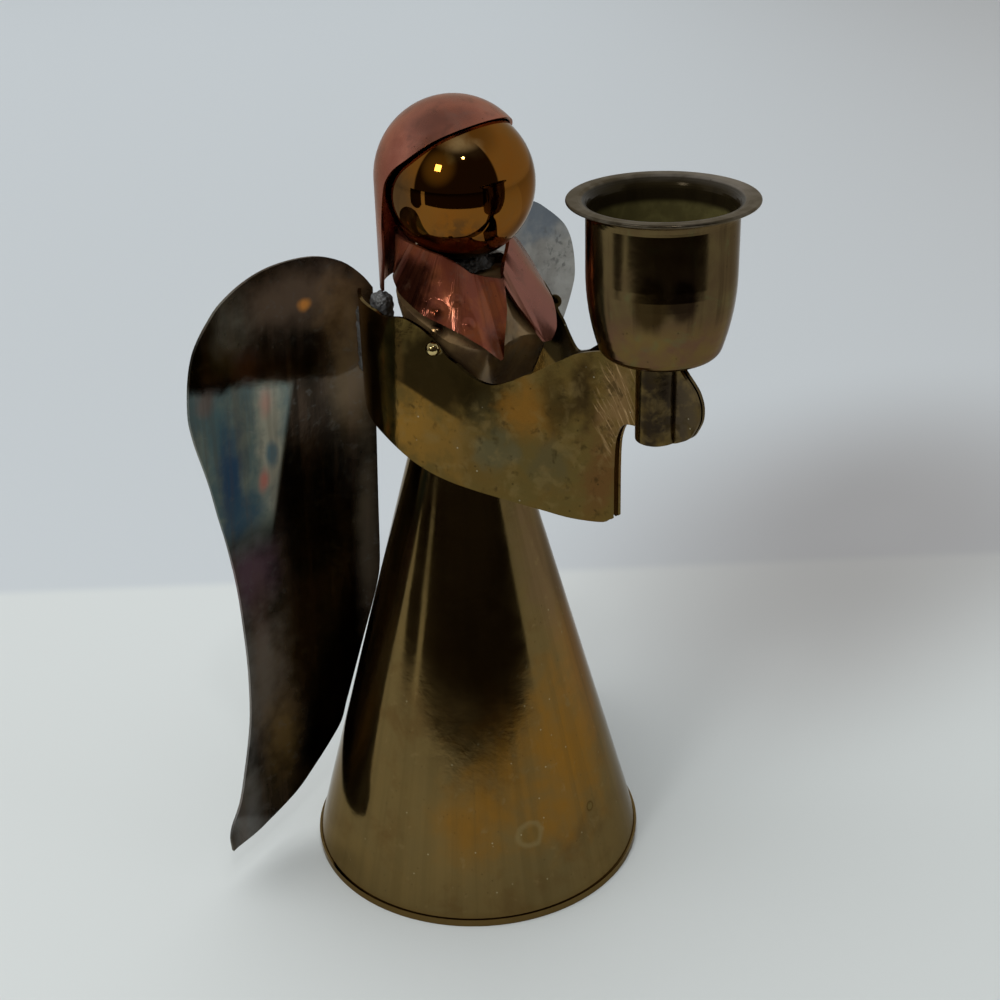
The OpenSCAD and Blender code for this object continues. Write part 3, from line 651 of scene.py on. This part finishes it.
rough = polish(tree, tarnish(tree, 7), 0.10, 0.10)
finish_metal(tree, shader, base, rough)
dents = add_bump(tree, shader, tarnish(tree, 13, 0.1, 0.9), 0.09)
add_bump(tree, shader, brushed, 0.006, dents)
metals["sleeve_brass"] = metal
print("finished:", metal.name, "with", len(sleeve_patches), "patches on each side")

# %% [markdown]
# The wings were heated until the brass took on colour. Both are one material,
# and the side of the angel decides which part of it shows. The near wing
# comes first. It is near black, with brown and tan at the crown and purple,
# brown, amber and grey further down.

# %% Wing patina: the near wing
metal, tree, shader = new_metal("wing_patina")
wing_at = axes_of(tree, own_place(tree))
near_black, dark_brown = colour(0.014, 0.012, 0.009), colour(0.045, 0.031, 0.021)
base = tint(tree, near_black, dark_brown, tarnish(tree, 12, 0.35, 0.70))
wing_patches = (
    ("brown crown", (-24, 18, 119.5), (19, 30, 8), (0.155, 0.105, 0.072), 0.9),
    ("tan crown", (-12.5, 16, 115), (7, 30, 10), (0.260, 0.160, 0.080), 0.9),
    ("grey brow", (-38.5, 18, 117), (7, 30, 9), (0.190, 0.182, 0.145), 0.8),
    ("brown at the sleeve", (-12, 17, 101), (5.5, 30, 16), (0.170, 0.110, 0.052), 0.85),
    ("brown strip", (-10, 17, 70), (3.4, 30, 30), (0.095, 0.075, 0.052), 0.8),
    ("mauve", (-34.5, 19, 108.5), (4, 30, 4.5), (0.130, 0.075, 0.070), 0.8),
    ("pinkish corner", (-44, 17, 107), (4, 30, 4), (0.200, 0.150, 0.130), 0.8),
    ("purple", (-37, 21, 68), (9, 30, 11), (0.125, 0.072, 0.090), 0.97),
    ("rosy streak", (-35, 21.5, 55), (3, 30, 14), (0.120, 0.070, 0.060), 0.7),
    ("brown low", (-34, 22, 42), (8, 30, 20), (0.190, 0.155, 0.125), 0.85),
    ("grey edge", (-41, 22, 42), (4, 30, 26), (0.190, 0.188, 0.180), 0.85),
    ("amber low", (-31.5, 23, 27), (6, 30, 13), (0.190, 0.115, 0.035), 0.75),
    ("grey tip", (-43, 22, 15), (6, 30, 13), (0.190, 0.185, 0.175), 0.8))
base = add_patches(tree, base, wing_patches, 0.13, 0.12, stretch=1.2)
print("near wing:", len(wing_patches), "patches")

# %% [markdown]
# In the middle of the near wing lies a pale field with blue in it. Its right
# edge is a sharp slanting line, its top edge wavers and its foot fades, so
# three ramps cut it out. Part of it may be a mirror image, so it is kept off
# the back of the wing. Two rosy flecks in it and an orange one at the crown
# show where the flame was hottest.

# %% Wing patina: the pale field
field_left, left_of = (-0.978, 0.0, 0.21), (0.0447, 0.0462)
field_up, below = (0.25, 0.0, 1.0), (0.0975, 0.1005)
above_foot = (0.0690, 0.0800)
facing = axes_of(tree, add_node(tree, "TexCoord").outputs["Normal"])
on_front = spread(tree, facing["Y"], -0.1, 0.1, 1.0, 0.0)
waver = math_node(tree, "MULTIPLY", tarnish(tree, 12, 0.10, 0.90, (0.1, 0, 0)), 0.0045)
field_top = math_node(tree, "ADD", vector_node(tree, "DOT_PRODUCT", own_place(tree), field_up), waver)
field = spread(tree, vector_node(tree, "DOT_PRODUCT", own_place(tree), field_left), *left_of)
field = math_node(tree, "MULTIPLY", field, spread(tree, field_top, *below, 1.0, 0.0))
field = math_node(tree, "MULTIPLY", field, spread(tree, wing_at["Z"], *above_foot))
field = math_node(tree, "MULTIPLY", field, on_front)
field_patches = (
    ("cream", (-30.0, 19, 92), (4.4, 30, 20), (0.520, 0.500, 0.380), 0.9),
    ("green blue", (-43, 18, 99), (4.5, 30, 10), (0.100, 0.190, 0.210), 0.8),
    ("deep blue", (-40, 19, 88), (4.2, 30, 16), (0.040, 0.090, 0.170), 0.95),
    ("blue foot", (-38, 19, 80), (7, 30, 8), (0.055, 0.115, 0.170), 0.8),
    ("blue drop", (-29.8, 20, 90), (2, 30, 4), (0.060, 0.190, 0.260), 0.8),
    ("pinkish corner", (-45, 17, 106), (4, 30, 4), (0.240, 0.185, 0.160), 0.8))
grey_green, grey_blue = colour(0.235, 0.275, 0.230), colour(0.130, 0.190, 0.190)
inside_field = tint(tree, grey_green, grey_blue, tarnish(tree, 6, 0.35, 0.65))
inside_field = add_patches(tree, inside_field, field_patches, 0.22, 0.25)
base = tint(tree, base, inside_field, field, 0.97)
for middle, reach, shade in (((-30.6, 19.5, 100.5), (2.3, 30, 4.4), (0.520, 0.300, 0.230)),
                             ((-32, 20, 85.3), (1.9, 30, 4.0), (0.620, 0.220, 0.170)),
                             ((-21.1, 18.1, 117), (1.9, 30, 1.7), (0.850, 0.340, 0.070))):
    spot = math_node(tree, "MULTIPLY", soft_patch(tree, middle, reach, 0.2, 0.05), on_front)
    base = tint(tree, base, colour(*shade), spot, 0.9)
fall = use_group(tree, hairlines, Lines=(330, 60, 26), Low=0.46, High=0.66)
base = tint(tree, base, colour(0.130, 0.085, 0.058), fall, 0.32)
print("pale field:", len(field_patches), "patches")

# %% [markdown]
# The far wing stayed a pale grey, bluish at the crown and specked at its edge.
# A heat film is an oxide and not bare metal, so where the near wing's film is
# thick, the shader is made less metallic.

# %% Wing patina: the far wing and the film
grey, pale_grey = colour(0.215, 0.198, 0.182), colour(0.330, 0.315, 0.292)
far_wing = tint(tree, grey, pale_grey, tarnish(tree, 7, 0.3, 0.7))
far_wing = tint(tree, far_wing, colour(0.100, 0.120, 0.150),
                soft_patch(tree, (42, 18, 120), (14, 30, 8), 0.3, 0.3), 0.8)
far_specks = math_node(tree, "MULTIPLY", tarnish(tree, 1.2, 0.50, 0.66),
                       soft_patch(tree, (45, 20, 110), (7, 30, 9), 0.3, 0.2))
far_wing = tint(tree, far_wing, colour(0.095, 0.092, 0.088), far_specks, 0.7)
lower_far = spread(tree, wing_at["Z"], 0.080, 0.040)
far_wing = tint(tree, far_wing, colour(0.095, 0.080, 0.065), lower_far, 0.7)
far_side = spread(tree, wing_at["X"], -0.001, 0.001)
base = tint(tree, base, far_wing, far_side)
fleck = use_group(tree, clouds, Size=1.9 * MM, Low=0.56, High=0.68, Shift=(0, 0, 0.04))
base = tint(tree, base, colour(0.150, 0.150, 0.138), fleck, 0.22)
scratch = use_group(tree, hairlines, Turn=(0, math.radians(55), 0), Lines=(1500, 60, 110),
                    Low=0.66, High=0.74)
scratched = soft_patch(tree, (-40, 18, 98), (12, 30, 12), 0.3, 0.4)
scratch = math_node(tree, "MULTIPLY", scratch, scratched)
base = tint(tree, base, colour(0.30, 0.32, 0.30), scratch, 0.6)
finish_metal(tree, shader, base, polish(tree, tarnish(tree, 6), 0.10, 0.08))
film_share, film_stretch = 0.80, 1.15
film_places = (
    ((-24, 18, 118), (21, 30, 10)), ((-37, 22, 45), (11, 30, 34)), ((-12, 16.5, 100), (7, 30, 26)),
    ((-38, 22, 16), (12, 30, 20)), ((-37, 21, 66), (12, 30, 18)), ((-31, 23, 27), (7, 30, 14)),
    ((-10, 17, 65), (3.6, 30, 34)))
film = field
for middle, reach in film_places:
    thick = soft_patch(tree, middle, [size * film_stretch for size in reach], 0.15, 0.15)
    film = math_node(tree, "MAXIMUM", film, thick)
near_side = math_node(tree, "SUBTRACT", 1.0, far_side)
film = math_node(tree, "MULTIPLY", math_node(tree, "MULTIPLY", film, near_side), film_share)
feed(tree, shader.inputs["Metallic"], math_node(tree, "SUBTRACT", 1.0, film))
add_bump(tree, shader, tarnish(tree, 18, 0.1, 0.9, (0.2, 0, 0)), 0.06)
metals["wing_patina"] = metal
print("finished:", metal.name, "with film in", len(film_places), "places")

# %% [markdown]
# The head is a bought brass ball, lacquered and hardly touched. It is close
# to a mirror, so its colour is deep amber and the few smudges on it only
# blur the reflection a little. A pale patch on its top is a painted reflection
# of the ceiling, and a dark patch on its left, beside the hood, is painted shade.

# %% Head brass
metal, tree, shader = new_metal("head_brass")
base = tint(tree, colour(0.220, 0.074, 0.009), colour(0.190, 0.080, 0.014), tarnish(tree, 9))
# painted reflection of the ceiling on top of the ball
base = tint(tree, base, colour(0.620, 0.400, 0.170),
            soft_patch(tree, (-6.8, -9, 147.2), (4.5, 6, 3.2), 0.40, 0.1), 0.75)
# painted shade beside the hood
base = tint(tree, base, colour(0.080, 0.044, 0.018),
            soft_patch(tree, (-13.2, 0.5, 138.5), (4.5, 6, 8), 0.2, 0.3), 0.85)
mottled = math_node(tree, "MULTIPLY", tarnish(tree, 2.4, 0.42, 0.60, (0.3, 0, 0)),
                    soft_patch(tree, (-8.5, -9, 132), (6.5, 7, 5), 0.3, 0.3))
base = tint(tree, base, colour(0.105, 0.048, 0.014), mottled, 0.8)
smudge = tarnish(tree, 4, 0.52, 0.75, (0, 0.3, 0))
base = tint(tree, base, colour(0.17, 0.085, 0.025), smudge, 0.35)
base = tint(tree, base, colour(0.10, 0.05, 0.01), use_group(tree, specks, Size=0.7 * MM, Share=0.02), 0.5)
rough = polish(tree, smudge, 0.035, 0.05)
finish_metal(tree, shader, base, rough)
metals["head_brass"] = metal
print("finished:", metal.name)

# %% [markdown]
# Hood and collar are copper. The hood was brushed, so it is satin and
# pinkish. The near lapel of the collar is polished and redder, with upright
# streaks, dark at its tip and with painted shade at the neck, where it runs
# under the hood. The far lapel is duller and paler. Masks cut from height,
# depth and side tell the hood from the lapels.

# %% Copper: colours
metal, tree, shader = new_metal("copper")
copper_at = axes_of(tree, own_place(tree))
lapels = spread(tree, copper_at["Z"], 0.1320, 0.1290)
on_back = spread(tree, copper_at["Y"], 0.0040, 0.0090)
lapels = math_node(tree, "MULTIPLY", lapels, math_node(tree, "SUBTRACT", 1.0, on_back))
near_lapel = math_node(tree, "MULTIPLY", lapels, spread(tree, copper_at["X"], 0.0010, -0.0015))
far_lapel = math_node(tree, "SUBTRACT", lapels, near_lapel)
pink, red = colour(0.470, 0.170, 0.108), colour(0.250, 0.070, 0.028)
base = tint(tree, pink, colour(0.360, 0.135, 0.094), tarnish(tree, 7, 0.35, 0.65))
base = tint(tree, base, colour(0.300, 0.185, 0.150), tarnish(tree, 10, 0.52, 0.70, (0.1, 0.1, 0)), 0.5)
polished = tint(tree, red, colour(0.190, 0.048, 0.026), tarnish(tree, 5, 0.4, 0.6))
base = tint(tree, base, polished, near_lapel)
lapel_streak = use_group(tree, streaks, Axis=mm(0, -2, 120), Lines=7.0, Along=10.0, Low=0.46, High=0.62)
lapel_streak = math_node(tree, "MULTIPLY", lapel_streak, near_lapel)
base = tint(tree, base, colour(0.120, 0.040, 0.020), lapel_streak, 0.45)
# painted shade where the collar runs under the hood
painted_shade_neck = soft_patch(tree, (-14.5, -1.5, 123), (6, 8.5, 13), 0.2, 0.35)
base = tint(tree, base, colour(0.040, 0.010, 0.006), painted_shade_neck, 0.97)
dark_tip = soft_patch(tree, (-5.5, -16, 112), (3.5, 3.2, 8), 0.2, 0.4)
base = tint(tree, base, colour(0.070, 0.014, 0.004), dark_tip, 0.95)
hood_patches = (
    ("smudge on top", (-7.9, -2.5, 150), (5, 6, 3.5), (0.240, 0.102, 0.074), 0.55),
    ("darker side", (-13, 3, 139), (6, 10, 14), (0.280, 0.088, 0.056), 0.85))
base = add_patches(tree, base, hood_patches, 0.3, 0.2)
base = tint(tree, base, colour(0.215, 0.092, 0.071), far_lapel, 0.8)
base = tint(tree, base, colour(0.160, 0.085, 0.062), tarnish(tree, 2.2, 0.54, 0.70, (0, 0, 0.2)), 0.35)
base = tint(tree, base, colour(0.08, 0.03, 0.02), use_group(tree, specks, Size=0.7 * MM, Share=0.03), 0.6)
print("copper colours:", len(hood_patches) + 2, "patches")

# %% [markdown]
# The lapel was pressed by hand and has three shallow dents, a wide one and two
# small ones, which catch the lamps. Its skin is partly oxide, so it is less
# metallic than the hood, but for the dents, the neck and the tip.

# %% Copper: polish and dents
satin, lapel_rough = polish(tree, tarnish(tree, 6), 0.24, 0.07), 0.13
finish_metal(tree, shader, base, mix_value(tree, near_lapel, satin, lapel_rough))
pressed = soft_patch(tree, (-12.9, -7.8, 119.3), (2.4, 2.7, 2.6), 0.1, 0.0)
for middle in ((-9.6, -9.4, 120.7), (-9.6, -12.3, 117.2)):
    small_dent = math_node(tree, "MULTIPLY", soft_patch(tree, middle, (1.4, 1.4, 1.4), 0.1, 0.0), 0.6)
    pressed = math_node(tree, "MAXIMUM", pressed, small_dent)
lapel_metallic = 0.35
bare = spread(tree, near_lapel, 0.0, 1.0, 1.0, lapel_metallic)
bare = math_node(tree, "MAXIMUM", bare, pressed)
for mask in (painted_shade_neck, dark_tip):
    bare = math_node(tree, "MAXIMUM", bare, math_node(tree, "MULTIPLY", mask, 0.9))
feed(tree, shader.inputs["Metallic"], bare)
shader.inputs["Specular IOR Level"].default_value = 0.2
dents = add_bump(tree, shader, tarnish(tree, 9, 0.1, 0.9), 0.05)
dents = add_bump(tree, shader, lapel_streak, 0.06, dents)
add_bump(tree, shader, pressed, 0.55, dents)
metals["copper"] = metal
print("finished:", metal.name)

# %% [markdown]
# The bodice under the collar is brass that the flame turned brown, still
# glossy where the chest is round. One bare dent beside the lapel catches the
# lamps.

# %% Bodice brass
metal, tree, shader = new_metal("bodice_brass")
base = tint(tree, colour(0.270, 0.170, 0.075), colour(0.150, 0.090, 0.045), tarnish(tree, 6, 0.35, 0.65))
base = tint(tree, base, colour(0.190, 0.150, 0.095), tarnish(tree, 4, 0.55, 0.72, (0.2, 0, 0)), 0.5)
base = tint(tree, base, colour(0.03, 0.02, 0.01), use_group(tree, specks, Size=0.7 * MM, Share=0.03), 0.6)
finish_metal(tree, shader, base, polish(tree, tarnish(tree, 5), 0.13, 0.10))
pressed = soft_patch(tree, (-13.1, -8.1, 116.3), (2.2, 2.4, 2.0), 0.1, 0.0)
feed(tree, shader.inputs["Metallic"], spread(tree, pressed, 0.0, 1.0, 0.45, 1.0))
dents = add_bump(tree, shader, tarnish(tree, 8, 0.1, 0.9, (0, 0.1, 0)), 0.06)
add_bump(tree, shader, pressed, 0.60, dents)
metals["bodice_brass"] = metal
print("finished:", metal.name)

# %% [markdown]
# The cup is spun from brass, so its streaks run up and down its wall. Tarnish
# has taken the gold out of it: olive at the bottom, brown and a hint of
# purple at the sides, and a dull grey-brown on the flange, where wax was
# scraped off again and again. Two dark marks low on its front are painted
# reflections.

# %% Cup brass: wall and flange
metal, tree, shader = new_metal("cup_brass")
low, high = (Vector(corner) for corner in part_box("candle_cup"))
cup_middle = (low + high) / 2
cup_at = axes_of(tree, own_place(tree))
base = tint(tree, colour(0.118, 0.082, 0.034), colour(0.094, 0.059, 0.027), tarnish(tree, 8, 0.35, 0.65))
olive_brown, rose_brown = colour(0.145, 0.092, 0.028), colour(0.124, 0.062, 0.036)
bottom = spread(tree, cup_at["Z"], low.z + 0.011, low.z + 0.005)
base = tint(tree, base, tint(tree, olive_brown, rose_brown, tarnish(tree, 4, 0.3, 0.7)), bottom, 0.85)
cup_streak = use_group(tree, streaks, Axis=tuple(cup_middle), Lines=3.2, Along=14.0, Low=0.50, High=0.60)
on_wall = spread(tree, cup_at["Z"], low.z + 0.006, low.z + 0.010)
base = tint(tree, base, colour(0.050, 0.030, 0.014), math_node(tree, "MULTIPLY", cup_streak, on_wall), 0.65)
base = tint(tree, base, colour(0.120, 0.070, 0.085),
            soft_patch(tree, (6, -57.5, 124), (4, 4, 7), 0.3, 0.2), 0.6)
base = tint(tree, base, colour(0.100, 0.110, 0.045), tarnish(tree, 3.4, 0.56, 0.70, (0.1, 0, 0.1)), 0.35)
# two dark marks painted as reflections on the cup's front
painted_cup_reflections = (
    ("brown painted reflection", (-10.2, -52.5, 129.8), (3.8, 3.8, 5.6), (0.030, 0.017, 0.005), 0.85),
    ("dark painted reflection", (-6.8, -56, 130.4), (3.0, 2.6, 5.0), (0.014, 0.007, 0.004), 0.85))
base = add_patches(tree, base, painted_cup_reflections, 0.15, 0.5)
flange = spread(tree, cup_at["Z"], high.z - 0.0012, high.z - 0.0004)
worn = tint(tree, colour(0.070, 0.054, 0.034), colour(0.130, 0.108, 0.080), tarnish(tree, 3, 0.4, 0.65))
worn = tint(tree, worn, colour(0.300, 0.262, 0.225),
            soft_patch(tree, (11, -47, 144), (9, 12, 6), 0.3, 0.2), 0.7)
base = tint(tree, base, worn, flange)
base = tint(tree, base, colour(0.02, 0.014, 0.006), use_group(tree, specks, Size=0.7 * MM, Share=0.03), 0.6)
wall_rough, flange_rough = polish(tree, tarnish(tree, 5), 0.12, 0.07), 0.30
rough = mix_value(tree, flange, wall_rough, flange_rough)
print("cup from z %.1f to %.1f mm" % (low.z / MM, high.z / MM))

# %% [markdown]
# Inside, the cup keeps soot and old wax: an olive floor, a near black ring
# above it, which is soot deepened by painted shade, and a fade towards the
# rim. The mask takes what lies within the bore and faces the axis, so it
# stays off the outside of the rounded bottom.

# %% Cup brass: the inside
bore_radius = 0.0114
ring_foot, fade = (0.1388, 0.1400), (0.1430, 0.1440)
from_axis = vector_node(tree, "SUBTRACT", own_place(tree), tuple(cup_middle))
from_axis = vector_node(tree, "MULTIPLY", from_axis, (1.0, 1.0, 0.0))
axis_distance = vector_node(tree, "LENGTH", from_axis)
inside_cup = spread(tree, axis_distance, bore_radius + 0.0010, bore_radius + 0.0014, 1.0, 0.0)
outwards = vector_node(tree, "DOT_PRODUCT", add_node(tree, "TexCoord").outputs["Normal"], from_axis)
inside_cup = math_node(tree, "MULTIPLY", inside_cup, spread(tree, outwards, -0.0040, -0.0020, 1.0, 0.0))
inside_cup = math_node(tree, "MULTIPLY", inside_cup, spread(tree, cup_at["Z"], *fade, 1.0, 0.35))
olive, dark_olive = colour(0.170, 0.150, 0.055), colour(0.110, 0.095, 0.035)
inside_tone_and_shade = tint(tree, olive, dark_olive, tarnish(tree, 4, 0.35, 0.65))
# the near black ring is soot deepened by painted shade in the throat
inside_tone_and_shade = tint(tree, inside_tone_and_shade, colour(0.012, 0.009, 0.004), spread(tree, cup_at["Z"], *ring_foot))
finish_metal(tree, shader, tint(tree, base, inside_tone_and_shade, inside_cup, 0.9), rough)
soot_share = math_node(tree, "MULTIPLY", inside_cup, 0.7)
feed(tree, shader.inputs["Metallic"], math_node(tree, "SUBTRACT", 1.0, soot_share))
shader.inputs["Specular IOR Level"].default_value = 0.1
add_bump(tree, shader, tarnish(tree, 9, 0.1, 0.9, (0, 0, 0.1)), 0.025)
metals["cup_brass"] = metal
print("finished:", metal.name)

# %% [markdown]
# Solder freezes with a dull, finely wrinkled skin, and at the neck, under
# the head, it carries painted shade. It is the one metal here that hardly
# mirrors anything.

# %% Solder
metal, tree, shader = new_metal("solder")
base = tint(tree, colour(0.245, 0.252, 0.262), colour(0.140, 0.140, 0.138), tarnish(tree, 2.2, 0.35, 0.65))
# painted shade on the solder at the neck, under the head
base = tint(tree, base, colour(0.030, 0.026, 0.022),
            soft_patch(tree, (0, -4, 124), (9, 9, 7), 0.2, 0.6), 0.9)
base = tint(tree, base, colour(0.045, 0.036, 0.026), tarnish(tree, 1.3, 0.54, 0.70, (0.1, 0, 0)), 0.7)
rough = polish(tree, tarnish(tree, 1.4), 0.28, 0.20)
finish_metal(tree, shader, base, rough)
shader.inputs["Metallic"].default_value = 0.75
wrinkles = add_bump(tree, shader, tarnish(tree, 1.1, 0.2, 0.8), 0.16)
add_bump(tree, shader, tarnish(tree, 0.4, 0.2, 0.8, (0, 0.1, 0)), 0.03, wrinkles)
metals["solder"] = metal
print("finished:", metal.name)

# %% [markdown]
# Each solid of the frame carries the name of its slot. The new metals are put
# into those slots, and the meshes stay as they are.

# %% Put the metals on
for name, piece in nodes.items():
    for place in piece.material_slots:
        slot = place.material.name.split(".")[0]
        if slot not in metals:
            raise SystemExit("no metal for slot " + slot + " of " + name)
        place.material = metals[slot]
print("dressed", len(nodes), "pieces in", len(metals), "metals")

# %% [markdown]
# The bodice and the collar were drawn by hand round the neck, so in the frame
# they are skins of flat facets, and so are the beads on the sleeves. In
# polished metal each facet would mirror something else. Each gets a copy whose
# doubled points are merged, so that it can be shaded smooth, while its edges
# stay sharp. The copy takes the place of the frame's piece, at the same size.

# %% Smooth copies
def copy_piece(name, new_name):
    piece = nodes[name].copy()
    piece.data = nodes[name].data.copy()
    piece.name = new_name
    bpy.context.collection.objects.link(piece)
    bpy.ops.object.select_all(action="DESELECT")
    piece.select_set(True)
    bpy.context.view_layer.objects.active = piece
    return piece


def merge_doubles(piece, distance):
    if piece.data.has_custom_normals:
        bpy.ops.mesh.customdata_custom_splitnormals_clear()
    bpy.ops.object.mode_set(mode="EDIT")
    bpy.ops.mesh.select_all(action="SELECT")
    bpy.ops.mesh.remove_doubles(threshold=distance)
    bpy.ops.object.mode_set(mode="OBJECT")


def hand_in(piece, name):
    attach(piece, "root")
    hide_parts(name)


same_point = 0.002 * MM
sharp_from = math.radians(38.0)
for name, slot in (("bodice", "bodice_brass"), ("collar", "copper"),
                   ("right_sleeve_bead", "sleeve_brass"), ("left_sleeve_bead", "sleeve_brass")):
    piece = copy_piece(name, "smooth_" + name)
    merge_doubles(piece, same_point)
    bpy.ops.object.shade_smooth_by_angle(angle=sharp_from)
    hand_in(piece, name)
    print(piece.name, len(piece.data.vertices), "points after merging")

# %% [markdown]
# Drops of solder are never round. The ones at the shoulders, behind the
# sleeves and at the neck get copies that are remeshed very finely, pushed in
# and out by a cloud texture and smoothed, so that they have the lumps of metal
# that froze where it ran.

# %% Lumpy solder
lumps = bpy.data.textures.new("solder lumps", "CLOUDS")
lumps.noise_scale = 1.6 * MM
lumps.noise_depth = 2


def lumpy_copy(name, grain, push):
    piece = copy_piece(name, "lumpy_" + name)
    merge_doubles(piece, same_point)
    remesh = piece.modifiers.new("fine grain", "REMESH")
    remesh.mode = "VOXEL"
    remesh.voxel_size = grain
    bpy.ops.object.modifier_apply(modifier=remesh.name)
    displace = piece.modifiers.new("lumps", "DISPLACE")
    displace.texture = lumps
    displace.texture_coords = "LOCAL"
    displace.strength = push
    displace.mid_level = 0.55
    bpy.ops.object.modifier_apply(modifier=displace.name)
    soften = piece.modifiers.new("soften", "SMOOTH")
    soften.iterations = 3
    bpy.ops.object.modifier_apply(modifier=soften.name)
    bpy.ops.object.shade_smooth()
    hand_in(piece, name)
    print(piece.name, len(piece.data.polygons), "faces")


for side in ("right", "left"):
    lumpy_copy(side + "_shoulder_solder", 0.14 * MM, 1.1 * MM)
    lumpy_copy(side + "_wing_solder", 0.14 * MM, 0.9 * MM)
lumpy_copy("neck_solder", 0.20 * MM, 1.4 * MM)
